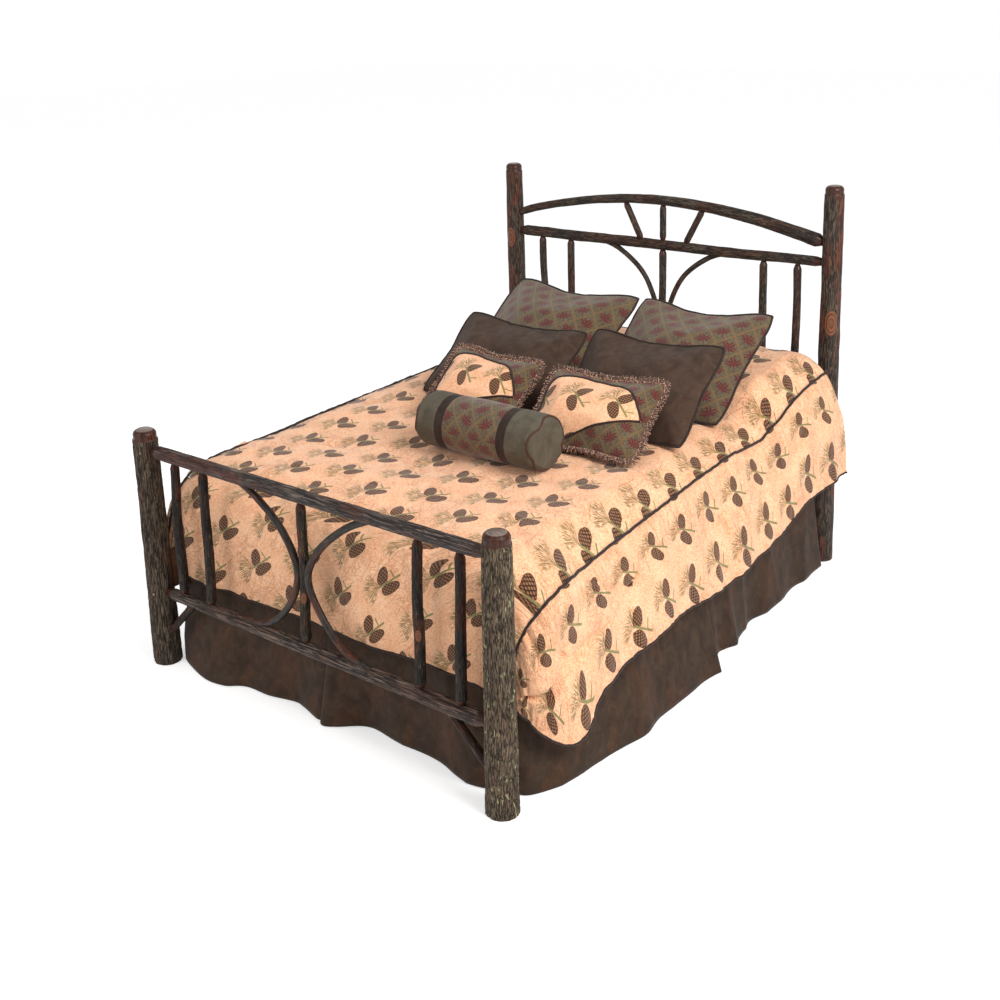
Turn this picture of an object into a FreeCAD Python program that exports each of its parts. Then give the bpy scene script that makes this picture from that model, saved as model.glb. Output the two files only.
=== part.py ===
import FreeCAD, Part
import math
import os
import Sketcher
from FreeCAD import Placement, Rotation, Vector

# Rustic log bed: hickory poles joined by round tenons, a slatted frame and the dressed bedding.
# Millimetres. X runs across the bed, left to right as seen from the foot. Y runs from the foot
# (negative) to the head (positive) and Z is up. The origin is the middle of the plan, on the floor.

SIZES = (
    # Plan of the frame, set out round the mattress
    ("side_space", 63, "mattress side to post centre"),
    ("end_space", 109, "mattress end to post centre"),
    # Posts
    ("foot_post_height", 947, "foot posts"),
    ("head_post_rise", 244, "head posts above the ends of the arch"),
    ("foot_post_base_diameter", 108, "over the bark at the floor"),
    ("foot_post_top_diameter", 90, "over the bark below the crown"),
    ("head_post_base_diameter", 96, "over the bark at the floor"),
    ("head_post_top_diameter", 80, "over the bark below the crown"),
    ("foot_left_lean", 27, "sideways, from base to top"),
    ("foot_right_lean", 17, "sideways, from base to top"),
    ("head_left_lean", 2, "sideways, from base to top"),
    ("head_right_lean", -15, "sideways, from base to top"),
    ("crown_height", 15, "worn dome on each post"),
    ("crown_inset", 11, "how far the dome draws in"),
    ("peel_height", 22, "peeled ring below the dome"),
    ("bark_thickness", 3, "step at the peeled ring"),
    ("foot_trim", 12, "log left below the floor line, then sawn off level"),
    # Rails of the footboard
    ("foot_top_rail_height", 868, "axis above the floor"),
    ("foot_bottom_rail_height", 301, "axis above the floor"),
    ("foot_top_rail_butt_diameter", 52, "left end"),
    ("foot_top_rail_tip_diameter", 46, "right end"),
    ("foot_bottom_rail_tip_diameter", 44, "left end"),
    ("foot_bottom_rail_butt_diameter", 54, "right end"),
    # Rails of the headboard
    ("arch_clearance", 73, "axis of the middle rail to the ends of the arch"),
    ("arch_rise", 120, "middle above the ends"),
    ("arch_tip_diameter", 36, "left end"),
    ("arch_middle_diameter", 44, "at the crown of the arch"),
    ("arch_butt_diameter", 58, "right end"),
    ("middle_rail_height", 1311, "axis above the floor"),
    ("middle_rail_butt_diameter", 50, "left end"),
    ("middle_rail_tip_diameter", 43, "right end"),
    ("lower_rail_height", 560, "axis, hidden behind the mattress"),
    ("lower_rail_diameter", 50, "both ends"),
    ("rail_tenon_diameter", 28, "round tenon of a rail"),
    ("rail_tenon_length", 50, "set into the post"),
    ("rail_point_length", 34, "pencil point behind the tenon"),
    # Spindles, rays and braces
    ("foot_spindle_low_diameter", 38, "near the bottom rail"),
    ("foot_spindle_high_diameter", 34, "near the top rail"),
    ("head_spindle_diameter", 34, "headboard spindles"),
    ("ray_diameter", 29, "short poles under the arch"),
    ("brace_diameter", 30, "corner braces"),
    ("brace_reach", 214, "post centre to brace, along the bottom rail"),
    ("brace_drop", 205, "bottom rail to brace, down the post"),
    ("spindle_tenon_diameter", 19, "round tenon of a spindle"),
    ("spindle_tenon_length", 18, "set into the rail"),
    ("spindle_point_length", 17, "pencil point behind the tenon"),
    ("shoulder_gap", 1, "tenon showing at the rail"),
    # Bent poles
    ("hoop_diameter", 26, "bent hoops of the footboard"),
    ("hoop_reach", 318, "bed centre to where a hoop meets its rails"),
    ("branch_diameter", 24, "bent branches of the headboard"),
    ("branch_reach", 330, "bed centre to where a branch meets the middle rail"),
    ("branch_drop", 375, "length of a branch below the middle rail"),
    # Pins through the rail tenons
    ("pin_diameter", 9, "turned oak pin"),
    ("pin_length", 62, "from the sawn end to the blind end"),
    # Side rails and what they carry
    ("side_rail_thickness", 36, "board"),
    ("side_rail_depth", 140, "board, on edge"),
    ("side_rail_bottom", 310, "above the floor"),
    ("cleat_width", 30, "ledger under the slats"),
    ("cleat_depth", 35, "ledger under the slats"),
    ("cleat_setback", 40, "from each end of the rail"),
    ("slat_width", 90, "along the bed"),
    ("slat_thickness", 20, "depth"),
    ("slat_end_play", 2, "between slat end and rail"),
    ("beam_width", 45, "centre beam"),
    ("beam_depth", 70, "centre beam"),
    ("beam_overhang", 1, "mattress end to beam end"),
    ("leg_diameter", 42, "centre legs"),
    ("leg_shoe_diameter", 60, "pad under each leg"),
    ("leg_shoe_height", 12, "pad under each leg"),
    # Rail hooks
    ("flat_depth", 25, "post axis to the flat that takes a plate"),
    ("plate_thickness", 3, "steel"),
    ("plate_width", 20, "steel"),
    ("plate_height", 132, "steel"),
    ("plate_shift", 6, "plate's middle out from the side rail's middle"),
    ("hook_width", 4, "across"),
    ("hook_height", 26, "each hook"),
    ("hook_reach", 9, "behind the post plate"),
    ("hook_lip", 12, "how far a hook hangs down"),
    ("hook_spacing", 56, "between hooks"),
    ("screw_diameter", 5, "shank"),
    ("screw_head_diameter", 9, "head"),
    ("screw_head_height", 2, "head, sunk in the plate"),
    ("screw_length", 24, "overall"),
    ("screw_spacing", 116, "top screw to bottom screw"),
    # Mattress and box spring
    ("mattress_width", 1524, "sixty inches"),
    ("mattress_length", 2032, "eighty inches"),
    ("mattress_height", 230, "nine inches"),
    ("mattress_play", 10, "box spring to side rail"),
    ("box_spring_height", 180, "low box spring"),
    ("bed_corner_radius", 60, "plan corners of both"),
    ("bed_edge_radius", 18, "upper and lower edges of both"),
    # Skirt
    ("skirt_thickness", 2.5, "suede with its backing"),
    ("deck_thickness", 2, "cloth between box spring and mattress"),
    ("skirt_hem_height", 8, "above the floor"),
    ("skirt_ledge_drop", 95, "deck to where the drop clears the side rail"),
    ("skirt_side_flare", 118, "mattress side to hem, at the floor"),
    ("skirt_foot_flare", 62, "mattress foot to hem, at the floor"),
    ("skirt_fold_depth", 26, "in and out of the hem"),
    ("skirt_split", 9, "gap between neighbouring drops"),
    ("skirt_end_setback", 16, "from the corner of the mattress"),
    # Comforter
    ("comforter_loft", 34, "thickness on top"),
    ("comforter_wall", 27, "thickness of the drops"),
    ("comforter_shoulder", 155, "how far the top rounds in from the drop"),
    ("comforter_side_bulge", 80, "mattress side to drop, at the shoulder"),
    ("comforter_side_flare", 205, "mattress side to drop, at the lowest hem"),
    ("comforter_shift", 14, "how far the drops lie to the right of the bed's middle"),
    ("comforter_foot_bulge", 38, "mattress foot to drop"),
    ("comforter_puff", 13, "between tufts"),
    ("comforter_corner_radius", 90, "plan corner of the foot end, at the shoulder"),
    ("comforter_lobe_radius", 150, "plan corner of the foot end, at the lowest hem"),
    ("comforter_foot_hem", 350, "above the floor"),
    ("comforter_side_hem", 462, "above the floor, at the head end"),
    ("comforter_corner_hem", 172, "above the floor, at the right foot corner"),
    ("comforter_head_reach", 14, "past the head end of the mattress"),
    ("comforter_rail_slot", 9, "cloth held off the side rail"),
    ("comforter_rise", 146, "over the sleeping pillows"),
    ("comforter_rise_lead", 55, "rise ahead of the sleeping pillows"),
    ("comforter_head_shoulder", 91, "shoulder over the sleeping pillows, above the mattress"),
    ("comforter_head_bulge", 92, "mattress side to drop, at that shoulder"),
    ("comforter_head_flare", 212, "mattress side to drop, at the hem of the head end"),
    # Sleeping pillows under the comforter
    ("sleeper_width", 700, "across the bed"),
    ("sleeper_length", 460, "along the bed"),
    ("sleeper_thickness", 136, "crown"),
    ("sleeper_gap", 20, "between the two"),
    ("sleeper_setback", 12, "from the head end of the mattress"),
    # Show pillows
    ("euro_width", 624, "leaf-cloth shams"),
    ("euro_height", 620, "leaf-cloth shams"),
    ("euro_thickness", 190, "crown"),
    ("euro_spread", 353, "pair's middle to each sham"),
    ("euro_shift", 108, "pair's middle from the bed's middle"),
    ("euro_setback", 735, "head end of the mattress to the lower edge"),
    ("sham_width", 612, "suede shams"),
    ("sham_height", 452, "suede shams"),
    ("sham_thickness", 176, "crown"),
    ("sham_spread", 331, "pair's middle to each sham"),
    ("sham_shift", 149, "pair's middle from the bed's middle"),
    ("sham_setback", 1006, "head end of the mattress to the lower edge"),
    ("accent_width", 470, "small pillows"),
    ("accent_height", 350, "small pillows"),
    ("accent_thickness", 128, "crown"),
    ("accent_spread", 273, "pair's middle to each pillow"),
    ("accent_shift", 186, "pair's middle from the bed's middle"),
    ("accent_setback", 1216, "head end of the mattress to the lower edge"),
    ("pillow_edge", 7, "thickness along the seam"),
    ("pillow_draw", 18, "how far the sides pull in"),
    ("fringe_width", 24, "brush fringe"),
    ("fringe_thickness", 9, "brush fringe"),
    ("bolster_length", 545, "overall"),
    ("bolster_diameter", 208, "overall"),
    ("bolster_edge", 26, "rounding to the end discs"),
    ("bolster_shift", 212, "its middle from the bed's middle"),
    ("bolster_setback", 1408, "head end of the mattress to its axis"),
    # Fits
    ("fit_gap", 0.3, "round fits, and cloth off its neighbour"),
    ("rest_gap", 0.3, "pillows above what they lie on"),
    ("overrun", 30, "how far a cutting tool runs past a surface"),
)

# Angles, counts and shares
PILLOW_LEANS = {"euro": 58.0, "sham": 49.0, "accent": 50.0}
SLAT_COUNT = 7
LEG_COUNT = 2
SIDE_PUFFS = 5
FOOT_PUFFS = 4
SKIRT_FOLDS = 4

# Spindles across the bed, as shares of half the post spacing: at the lower and the upper rail
FOOT_SPINDLE_SHARES = {
    "foot_spindle_outer_left": (-0.812, -0.776),
    "foot_spindle_inner_left": (-0.625, -0.585),
    "foot_spindle_centre": (-0.018, 0.018),
    "foot_spindle_inner_right": (0.612, 0.644),
    "foot_spindle_outer_right": (0.820, 0.847),
}
HEAD_SPINDLE_SHARES = {
    "head_spindle_outer_left": (-0.800, -0.800),
    "head_spindle_inner_left": (-0.600, -0.599),
    "head_spindle_centre": (0.010, 0.010),
    "head_spindle_inner_right": (0.612, 0.612),
    "head_spindle_outer_right": (0.802, 0.801),
}
RAY_SHARES = {
    "arch_ray_left": (-0.118, -0.238),
    "arch_ray_centre": (0.010, 0.010),
    "arch_ray_right": (0.140, 0.262),
}

# Course of a hoop: (share of the reach, share of the height between the foot rails)
HOOP_LEFT_SHARES = (
    (-1.00, 1.00), (-0.63, 0.90), (-0.27, 0.73), (-0.09, 0.50), (-0.27, 0.25), (-0.64, 0.07), (-1.06, 0.03))
HOOP_RIGHT_SHARES = (
    (1.10, 1.00), (0.68, 0.88), (0.27, 0.69), (0.06, 0.47), (0.26, 0.23), (0.58, 0.07), (1.00, 0.02))

# Course of a branch: (share of the reach, share of the drop below the middle rail)
BRANCH_SHARES = ((1.08, 0.00), (0.72, 0.10), (0.36, 0.34), (0.16, 0.66), (0.045, 1.00))

# Course of the arch: (share of half the span, share of the rise)
ARCH_SHARES = ((-1.00, 0.00), (-0.62, 0.66), (-0.04, 1.04), (0.56, 0.66), (1.00, 0.00))
BEND_SHARE = 0.45

# A pillow from its lower to its upper seam: (share of height, of thickness, of the draw)
PILLOW_SHARES = (
    (0.00, 0.00, 0.00), (0.06, 0.48, 0.35), (0.20, 0.84, 0.80), (0.50, 1.00, 1.00),
    (0.80, 0.82, 0.80), (0.94, 0.44, 0.35), (1.00, 0.00, 0.00))

# The comforter's drop: (share of the height from the hem line to the top, of the flare, of the puff)
DROP_SHARES = (
    (0.00, 1.00, 1.0), (0.30, 0.84, 0.9), (0.51, 0.72, 0.8), (0.69, 0.54, 0.6), (0.83, 0.34, 0.5),
    (0.945, 0.00, 0.3))
# Its shoulder: (share of the loft below the top, shares drawn in at the sides and the foot, of the puff)
SHOULDER_SHARES = ((1.00, 0.37, 0.18, 0.3), (0.45, 0.65, 0.47, 0.3), (0.00, 1.00, 0.83, 0.3))
# Its side hems: (share of the way from the head to the foot, share of the fall to the lowest corner)
HEM_LEFT_SHARES = (
    (0.00, 0.00), (0.20, 0.17), (0.48, 0.32), (0.76, 0.40), (0.88, 0.53), (0.95, 0.65), (1.00, 0.42))
HEM_RIGHT_SHARES = (
    (0.00, 0.00), (0.21, 0.11), (0.34, 0.31), (0.58, 0.57), (0.85, 0.59), (0.91, 1.00), (0.94, 1.00),
    (1.00, 0.45))
# Its rise over the sleeping pillows: (share along the rise, share of the height, of the fuller drops)
RISE_SHARES = (
    (0.00, 0.00, 0.00), (0.10, 0.34, 0.05), (0.26, 0.82, 0.25), (0.52, 1.00, 0.75), (0.80, 0.97, 0.95),
    (1.00, 0.86, 1.00))
# Middle of the arc of those drops: (share of the way out to the hem, share of the way up from it)
RISE_BEND_SHARES = (0.68, 0.64)

doc = FreeCAD.newDocument("LogBed")
sheet = doc.addObject("Spreadsheet::Sheet", "Sizes")
for row, (alias, value, meaning) in enumerate(SIZES, start=1):
    sheet.set(f"A{row}", alias.replace("_", " "))
    sheet.set(f"B{row}", str(value))
    sheet.setAlias(f"B{row}", alias)
    sheet.set(f"C{row}", meaning)
doc.recompute()

NODES = []


class SheetSizes:
    """Reads a size from the sheet by its alias."""

    def __getattr__(self, alias):
        return float(sheet.get(alias))


S = SheetSizes()

UP = Vector(0, 0, 1)
ACROSS = Vector(1, 0, 0)
ALONG = Vector(0, 1, 0)

HALF_MATTRESS = S.mattress_width / 2
MATTRESS_END = S.mattress_length / 2
HALF_SPACING = HALF_MATTRESS + S.side_space
HEAD = MATTRESS_END + S.end_space
FOOT = -HEAD

# Heights of the headboard, stacked from the middle rail up
ARCH_END_HEIGHT = S.middle_rail_height + S.arch_clearance
POST_HEIGHTS = {"foot": S.foot_post_height, "head": ARCH_END_HEIGHT + S.head_post_rise}

# Heights of the bedding, stacked from the cleats up
SLAT_SEAT = S.side_rail_bottom + S.cleat_depth
SLAT_TOP = SLAT_SEAT + S.slat_thickness
DECK_SEAT = SLAT_TOP + S.box_spring_height
MATTRESS_SEAT = DECK_SEAT + S.deck_thickness
MATTRESS_TOP = MATTRESS_SEAT + S.mattress_height
COMFORTER_TOP = MATTRESS_TOP + S.fit_gap + S.comforter_loft


# Helpers

def keep(item, name):
    """Name a finished sub-part and put it on the list of nodes."""
    item.Label = name
    NODES.append(item)
    return item


def shape_object(name, shape, placement=None):
    """A sub-part whose shape is worked out here from the sheet's sizes."""
    item = doc.addObject("Part::Feature", name)
    item.Shape = shape
    if placement is not None:
        item.Placement = placement
    return item


def along(start, end):
    """The placement whose Z axis runs from start to end."""
    return Placement(start, Rotation(UP, end - start))


def blend(first, second, share):
    """The value or point at a share of the way from first to second."""
    return first + (second - first) * share


def number(item, expression):
    """The present value of an expression about the sheet or the item."""
    value = item.evalExpression(expression)
    return float(getattr(value, "Value", value))


def origin_plane(body, role):
    """One of a body's own origin planes."""
    return next(plane for plane in body.Origin.OriginFeatures if plane.Role == role)


def turned_body(name, stations, span=None):
    """A body turned about its Z axis. Each station is (radius, height), as expressions."""
    body = doc.addObject("PartDesign::Body", name)
    sketch = body.newObject("Sketcher::SketchObject", f"{name}_profile")
    if span is not None:
        sketch.addProperty("App::PropertyFloat", "SPAN", "Sizes", "length of the pole over its tenons")
        sketch.SPAN = span
    sketch.AttachmentSupport = [(origin_plane(body, "XZ_Plane"), "")]
    sketch.MapMode = "FlatFace"
    corners = [Vector(number(sketch, radius), number(sketch, height), 0) for radius, height in stations]
    for corner, following in zip(corners, corners[1:] + corners[:1]):
        sketch.addGeometry(Part.LineSegment(corner, following))
    bound = []
    rules = []
    last = len(corners) - 1
    for place, (radius, height) in enumerate(stations):
        rules.append(Sketcher.Constraint("Coincident", last if place == 0 else place - 1, 2, place, 1))
        for kind, expression, axis in (("DistanceX", radius, -2), ("DistanceY", height, -1)):
            if expression == "0":
                rules.append(Sketcher.Constraint("PointOnObject", place, 1, axis))
            else:
                bound.append((len(rules), expression))
                rules.append(Sketcher.Constraint(kind, -1, 1, place, 1, number(sketch, expression)))
    sketch.addConstraint(rules)
    for index, expression in bound:
        sketch.setExpression(f"Constraints[{index}]", expression)
    turning = body.newObject("PartDesign::Revolution", f"{name}_turning")
    turning.Profile = sketch
    turning.ReferenceAxis = (sketch, ["V_Axis"])
    turning.Angle = 360
    return body


def box(name, length, width, height, placement):
    """A box bound to three size expressions, centred on its X and Y."""
    item = doc.addObject("Part::Box", name)
    item.setExpression("Length", length)
    item.setExpression("Width", width)
    item.setExpression("Height", height)
    shift = Vector(-number(item, length) / 2, -number(item, width) / 2, 0)
    item.Placement = placement * Placement(shift, Rotation())
    return item


def cylinder(name, radius, height, placement):
    """A cylinder bound to two size expressions."""
    item = doc.addObject("Part::Cylinder", name)
    item.setExpression("Radius", radius)
    item.setExpression("Height", height)
    item.Placement = placement
    return item


def joined(name, items):
    """Several objects fused into one."""
    item = doc.addObject("Part::MultiFuse", name)
    item.Shapes = items
    return item


def grouped(name, items):
    """Several separate solids kept together in one object."""
    item = doc.addObject("Part::Compound", name)
    item.Links = items
    return item


def cut(name, stock, tools):
    """The stock less the tools."""
    item = doc.addObject("Part::Cut", name)
    item.Base = stock
    item.Tool = tools[0] if len(tools) == 1 else joined(f"{name}_tools", tools)
    return item


class Pole:
    """A straight pole with pencil-pointed ends and round tenons."""

    def __init__(self, name, start, end, start_diameter, end_diameter, tenon):
        self.name = name
        self.start = start
        self.end = end
        self.tenon = tenon
        self.start_radius = getattr(S, start_diameter) / 2
        self.end_radius = getattr(S, end_diameter) / 2
        self.bores = []
        tenon_radius = f"Sizes.{tenon}_tenon_diameter / 2"
        tenon_length = f"Sizes.{tenon}_tenon_length"
        point = f"{tenon_length} + Sizes.{tenon}_point_length"
        stations = (
            ("0", "0"),
            (tenon_radius, "0"),
            (tenon_radius, tenon_length),
            (f"Sizes.{start_diameter} / 2", point),
            (f"Sizes.{end_diameter} / 2", f"SPAN - ({point})"),
            (tenon_radius, f"SPAN - {tenon_length}"),
            (tenon_radius, "SPAN"),
            ("0", "SPAN"))
        self.body = turned_body(f"{name}_pole", stations, (end - start).Length)
        self.body.Placement = along(start, end)

    def direction(self):
        return (self.end - self.start).normalize()

    def axis_at(self, across):
        """The point of the axis at a place across the bed."""
        return blend(self.start, self.end, (across - self.start.x) / (self.end.x - self.start.x))

    def radius_at(self, point):
        share = (point - self.start).Length / (self.end - self.start).Length
        return blend(self.start_radius, self.end_radius, share)

    def mortise(self, tip, other_tip):
        """The hole that this pole's tenon fills, from its tip outwards."""
        name = f"{self.name}_mortise"
        return cylinder(
            name,
            f"Sizes.{self.tenon}_tenon_diameter / 2 + Sizes.fit_gap",
            f"Sizes.{self.tenon}_tenon_length + Sizes.overrun",
            along(tip, other_tip))

    def start_mortise(self):
        return self.mortise(self.start, self.end)

    def end_mortise(self):
        return self.mortise(self.end, self.start)

    def finish(self):
        """The pole with the holes that its neighbours need."""
        if self.bores:
            return keep(cut(self.name, self.body, self.bores), self.name)
        return keep(self.body, self.name)


def tenon_tip(on_axis, towards, carrier_direction, carrier_radius, tenon):
    """Where a tenon ends inside the log whose axis it points at."""
    direction = (towards - on_axis).normalize()
    cosine = abs(direction.dot(carrier_direction))
    sine = math.sqrt(1 - cosine * cosine)
    tenon_radius = getattr(S, f"{tenon}_tenon_diameter") / 2
    surface = (carrier_radius + tenon_radius * cosine) / sine
    return on_axis + direction * (surface + S.shoulder_gap - getattr(S, f"{tenon}_tenon_length"))


# Posts

class Post:
    """A log standing on the floor: flat sawn foot, peeled ring and worn crown."""

    def __init__(self, board, side):
        self.name = f"{board}_post_{'left' if side < 0 else 'right'}"
        self.side = side
        self.height = POST_HEIGHTS[board]
        self.base_radius = getattr(S, f"{board}_post_base_diameter") / 2
        self.top_radius = getattr(S, f"{board}_post_top_diameter") / 2
        self.plan = Vector(side * HALF_SPACING, FOOT if board == "foot" else HEAD, 0)
        lean = getattr(S, f"{board}_{'left' if side < 0 else 'right'}_lean")
        self.top = self.plan + Vector(lean, 0, self.height)
        self.bores = []
        base = f"Sizes.{board}_post_base_diameter / 2"
        top = f"Sizes.{board}_post_top_diameter / 2"
        ring = f"SPAN - Sizes.crown_height - Sizes.peel_height"
        stations = (
            ("0", "0"),
            (base, "0"),
            (top, ring),
            (f"{top} - Sizes.bark_thickness", ring),
            (f"{top} - Sizes.bark_thickness", "SPAN - Sizes.crown_height"),
            (f"{top} - Sizes.bark_thickness - Sizes.crown_inset / 3", "SPAN - Sizes.crown_height / 3"),
            (f"{top} - Sizes.bark_thickness - Sizes.crown_inset", "SPAN"),
            ("0", "SPAN"))
        start = self.axis_at(-S.foot_trim)
        self.body = turned_body(f"{self.name}_log", stations, (self.top - start).Length)
        self.body.Placement = along(start, self.top)

    def axis_at(self, height):
        return blend(self.plan, self.top, height / self.height)

    def radius_at(self, height):
        return blend(self.base_radius, self.top_radius, height / self.height)

    def direction(self):
        return (self.top - self.plan).normalize()

    def finish(self):
        below = box(
            f"{self.name}_floor",
            f"Sizes.{self.name.split('_')[0]}_post_base_diameter * 2",
            f"Sizes.{self.name.split('_')[0]}_post_base_diameter * 2",
            "Sizes.foot_trim + Sizes.overrun",
            Placement(self.plan - UP * (S.foot_trim + S.overrun), Rotation()))
        return keep(cut(self.name, self.body, [below] + self.bores), self.name)


foot_posts = [Post("foot", side) for side in (-1, 1)]
head_posts = [Post("head", side) for side in (-1, 1)]


def rail_between(name, posts, height, left_diameter, right_diameter):
    """A rail let into a pair of posts at one height."""
    middles = [post.axis_at(height) for post in posts]
    tips = [
        tenon_tip(middles[i], middles[1 - i], posts[i].direction(), posts[i].radius_at(height), "rail")
        for i in (0, 1)]
    rail = Pole(name, tips[0], tips[1], left_diameter, right_diameter, "rail")
    posts[0].bores.append(rail.start_mortise())
    posts[1].bores.append(rail.end_mortise())
    return rail


# Footboard

foot_top_rail = rail_between(
    "foot_top_rail", foot_posts, S.foot_top_rail_height,
    "foot_top_rail_butt_diameter", "foot_top_rail_tip_diameter")
foot_bottom_rail = rail_between(
    "foot_bottom_rail", foot_posts, S.foot_bottom_rail_height,
    "foot_bottom_rail_tip_diameter", "foot_bottom_rail_butt_diameter")


def pole_between(name, lower, lower_across, upper, upper_across, low_diameter, high_diameter):
    """A spindle or ray tenoned into a rail at each end."""
    low = lower.axis_at(lower_across)
    high = upper.axis_at(upper_across)
    low_tip = tenon_tip(low, high, lower.direction(), lower.radius_at(low), "spindle")
    high_tip = tenon_tip(high, low, upper.direction(), upper.radius_at(high), "spindle")
    pole = Pole(name, low_tip, high_tip, low_diameter, high_diameter, "spindle")
    lower.bores.append(pole.start_mortise())
    upper.bores.append(pole.end_mortise())
    return pole


foot_spindles = [
    pole_between(
        name, foot_bottom_rail, low * HALF_SPACING, foot_top_rail, high * HALF_SPACING,
        "foot_spindle_low_diameter", "foot_spindle_high_diameter")
    for name, (low, high) in FOOT_SPINDLE_SHARES.items()]


def corner_brace(post):
    """A short pole from the underside of the bottom rail down to the post."""
    on_rail = foot_bottom_rail.axis_at(post.plan.x - post.side * S.brace_reach)
    height = S.foot_bottom_rail_height - S.brace_drop
    on_post = post.axis_at(height)
    low_tip = tenon_tip(on_post, on_rail, post.direction(), post.radius_at(height), "spindle")
    high_tip = tenon_tip(
        on_rail, on_post, foot_bottom_rail.direction(), foot_bottom_rail.radius_at(on_rail), "spindle")
    name = f"foot_brace_{'left' if post.side < 0 else 'right'}"
    brace = Pole(name, low_tip, high_tip, "brace_diameter", "brace_diameter", "spindle")
    post.bores.append(brace.start_mortise())
    foot_bottom_rail.bores.append(brace.end_mortise())
    return brace


braces = [corner_brace(post) for post in foot_posts]


def rounded_course(points):
    """A wire through the points: straight runs joined by arcs tangent to them."""
    edges = []
    reached = points[0]
    for before, corner, after in zip(points, points[1:], points[2:]):
        incoming = (corner - before).normalize()
        outgoing = (after - corner).normalize()
        cutback = BEND_SHARE * min((corner - before).Length, (after - corner).Length)
        start = corner - incoming * cutback
        end = corner + outgoing * cutback
        turn = incoming.getAngle(outgoing)
        radius = cutback / math.tan(turn / 2)
        inward = (outgoing - incoming).normalize()
        centre = corner + inward * (radius / math.cos(turn / 2))
        edges.append(Part.LineSegment(reached, start).toShape())
        edges.append(Part.Arc(start, centre - inward * radius, end).toShape())
        reached = end
    edges.append(Part.LineSegment(reached, points[-1]).toShape())
    return Part.Wire(edges)


def bent_pole(points, diameters):
    """A round pole along a course, with circles spread evenly over its runs and bends."""
    course = rounded_course(points)
    edges = course.OrderedEdges
    circles = []
    for index, diameter in enumerate(diameters):
        reach = index / (len(diameters) - 1) * len(edges)
        edge = edges[min(int(reach), len(edges) - 1)]
        place = blend(edge.FirstParameter, edge.LastParameter, reach - edges.index(edge))
        circle = Part.makeCircle(diameter / 2, edge.valueAt(place), edge.tangentAt(place))
        circles.append(Part.Wire([circle]))
    return course.makePipeShell(circles, True, False)


def oversize(rail):
    """The rail's outside, a fit gap larger, to scribe a bent pole to it."""
    ends = ((rail.start_radius, rail.start), (rail.end_radius, rail.end))
    circles = [
        Part.Wire([Part.makeCircle(radius + S.fit_gap, middle, rail.direction())])
        for radius, middle in ends]
    return Part.makeLoft(circles, True)


def hoop(name, shares):
    """A bent hoop scribed to the underside of the top rail and the top of the bottom rail."""
    low = S.foot_bottom_rail_height
    high = S.foot_top_rail_height
    points = [Vector(x * S.hoop_reach, FOOT, blend(low, high, z)) for x, z in shares]
    solid = bent_pole(points, (S.hoop_diameter, S.hoop_diameter))
    for rail in (foot_top_rail, foot_bottom_rail):
        solid = solid.cut(oversize(rail))
    whole = max(solid.Solids, key=lambda piece: piece.Volume)
    return keep(shape_object(name, whole), name)


hoop("foot_hoop_left", HOOP_LEFT_SHARES)
hoop("foot_hoop_right", HOOP_RIGHT_SHARES)


# Headboard

middle_rail = rail_between(
    "head_middle_rail", head_posts, S.middle_rail_height,
    "middle_rail_butt_diameter", "middle_rail_tip_diameter")
lower_rail = rail_between(
    "head_lower_rail", head_posts, S.lower_rail_height, "lower_rail_diameter", "lower_rail_diameter")

head_spindles = [
    pole_between(
        name, lower_rail, low * HALF_SPACING, middle_rail, high * HALF_SPACING,
        "head_spindle_diameter", "head_spindle_diameter")
    for name, (low, high) in HEAD_SPINDLE_SHARES.items()]
centre_spindle = head_spindles[2]


def branch(name, side):
    """A bent branch from the underside of the middle rail to the centre spindle."""
    trunk = centre_spindle.start.x
    points = [
        Vector(trunk + side * x * S.branch_reach, HEAD, S.middle_rail_height - z * S.branch_drop)
        for x, z in BRANCH_SHARES]
    solid = bent_pole(points, (S.branch_diameter, S.branch_diameter))
    for carrier in (middle_rail, centre_spindle):
        solid = solid.cut(oversize(carrier))
    whole = max(solid.Solids, key=lambda piece: piece.Volume)
    return keep(shape_object(name, whole), name)


branch("head_branch_left", -1)
branch("head_branch_right", 1)


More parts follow.
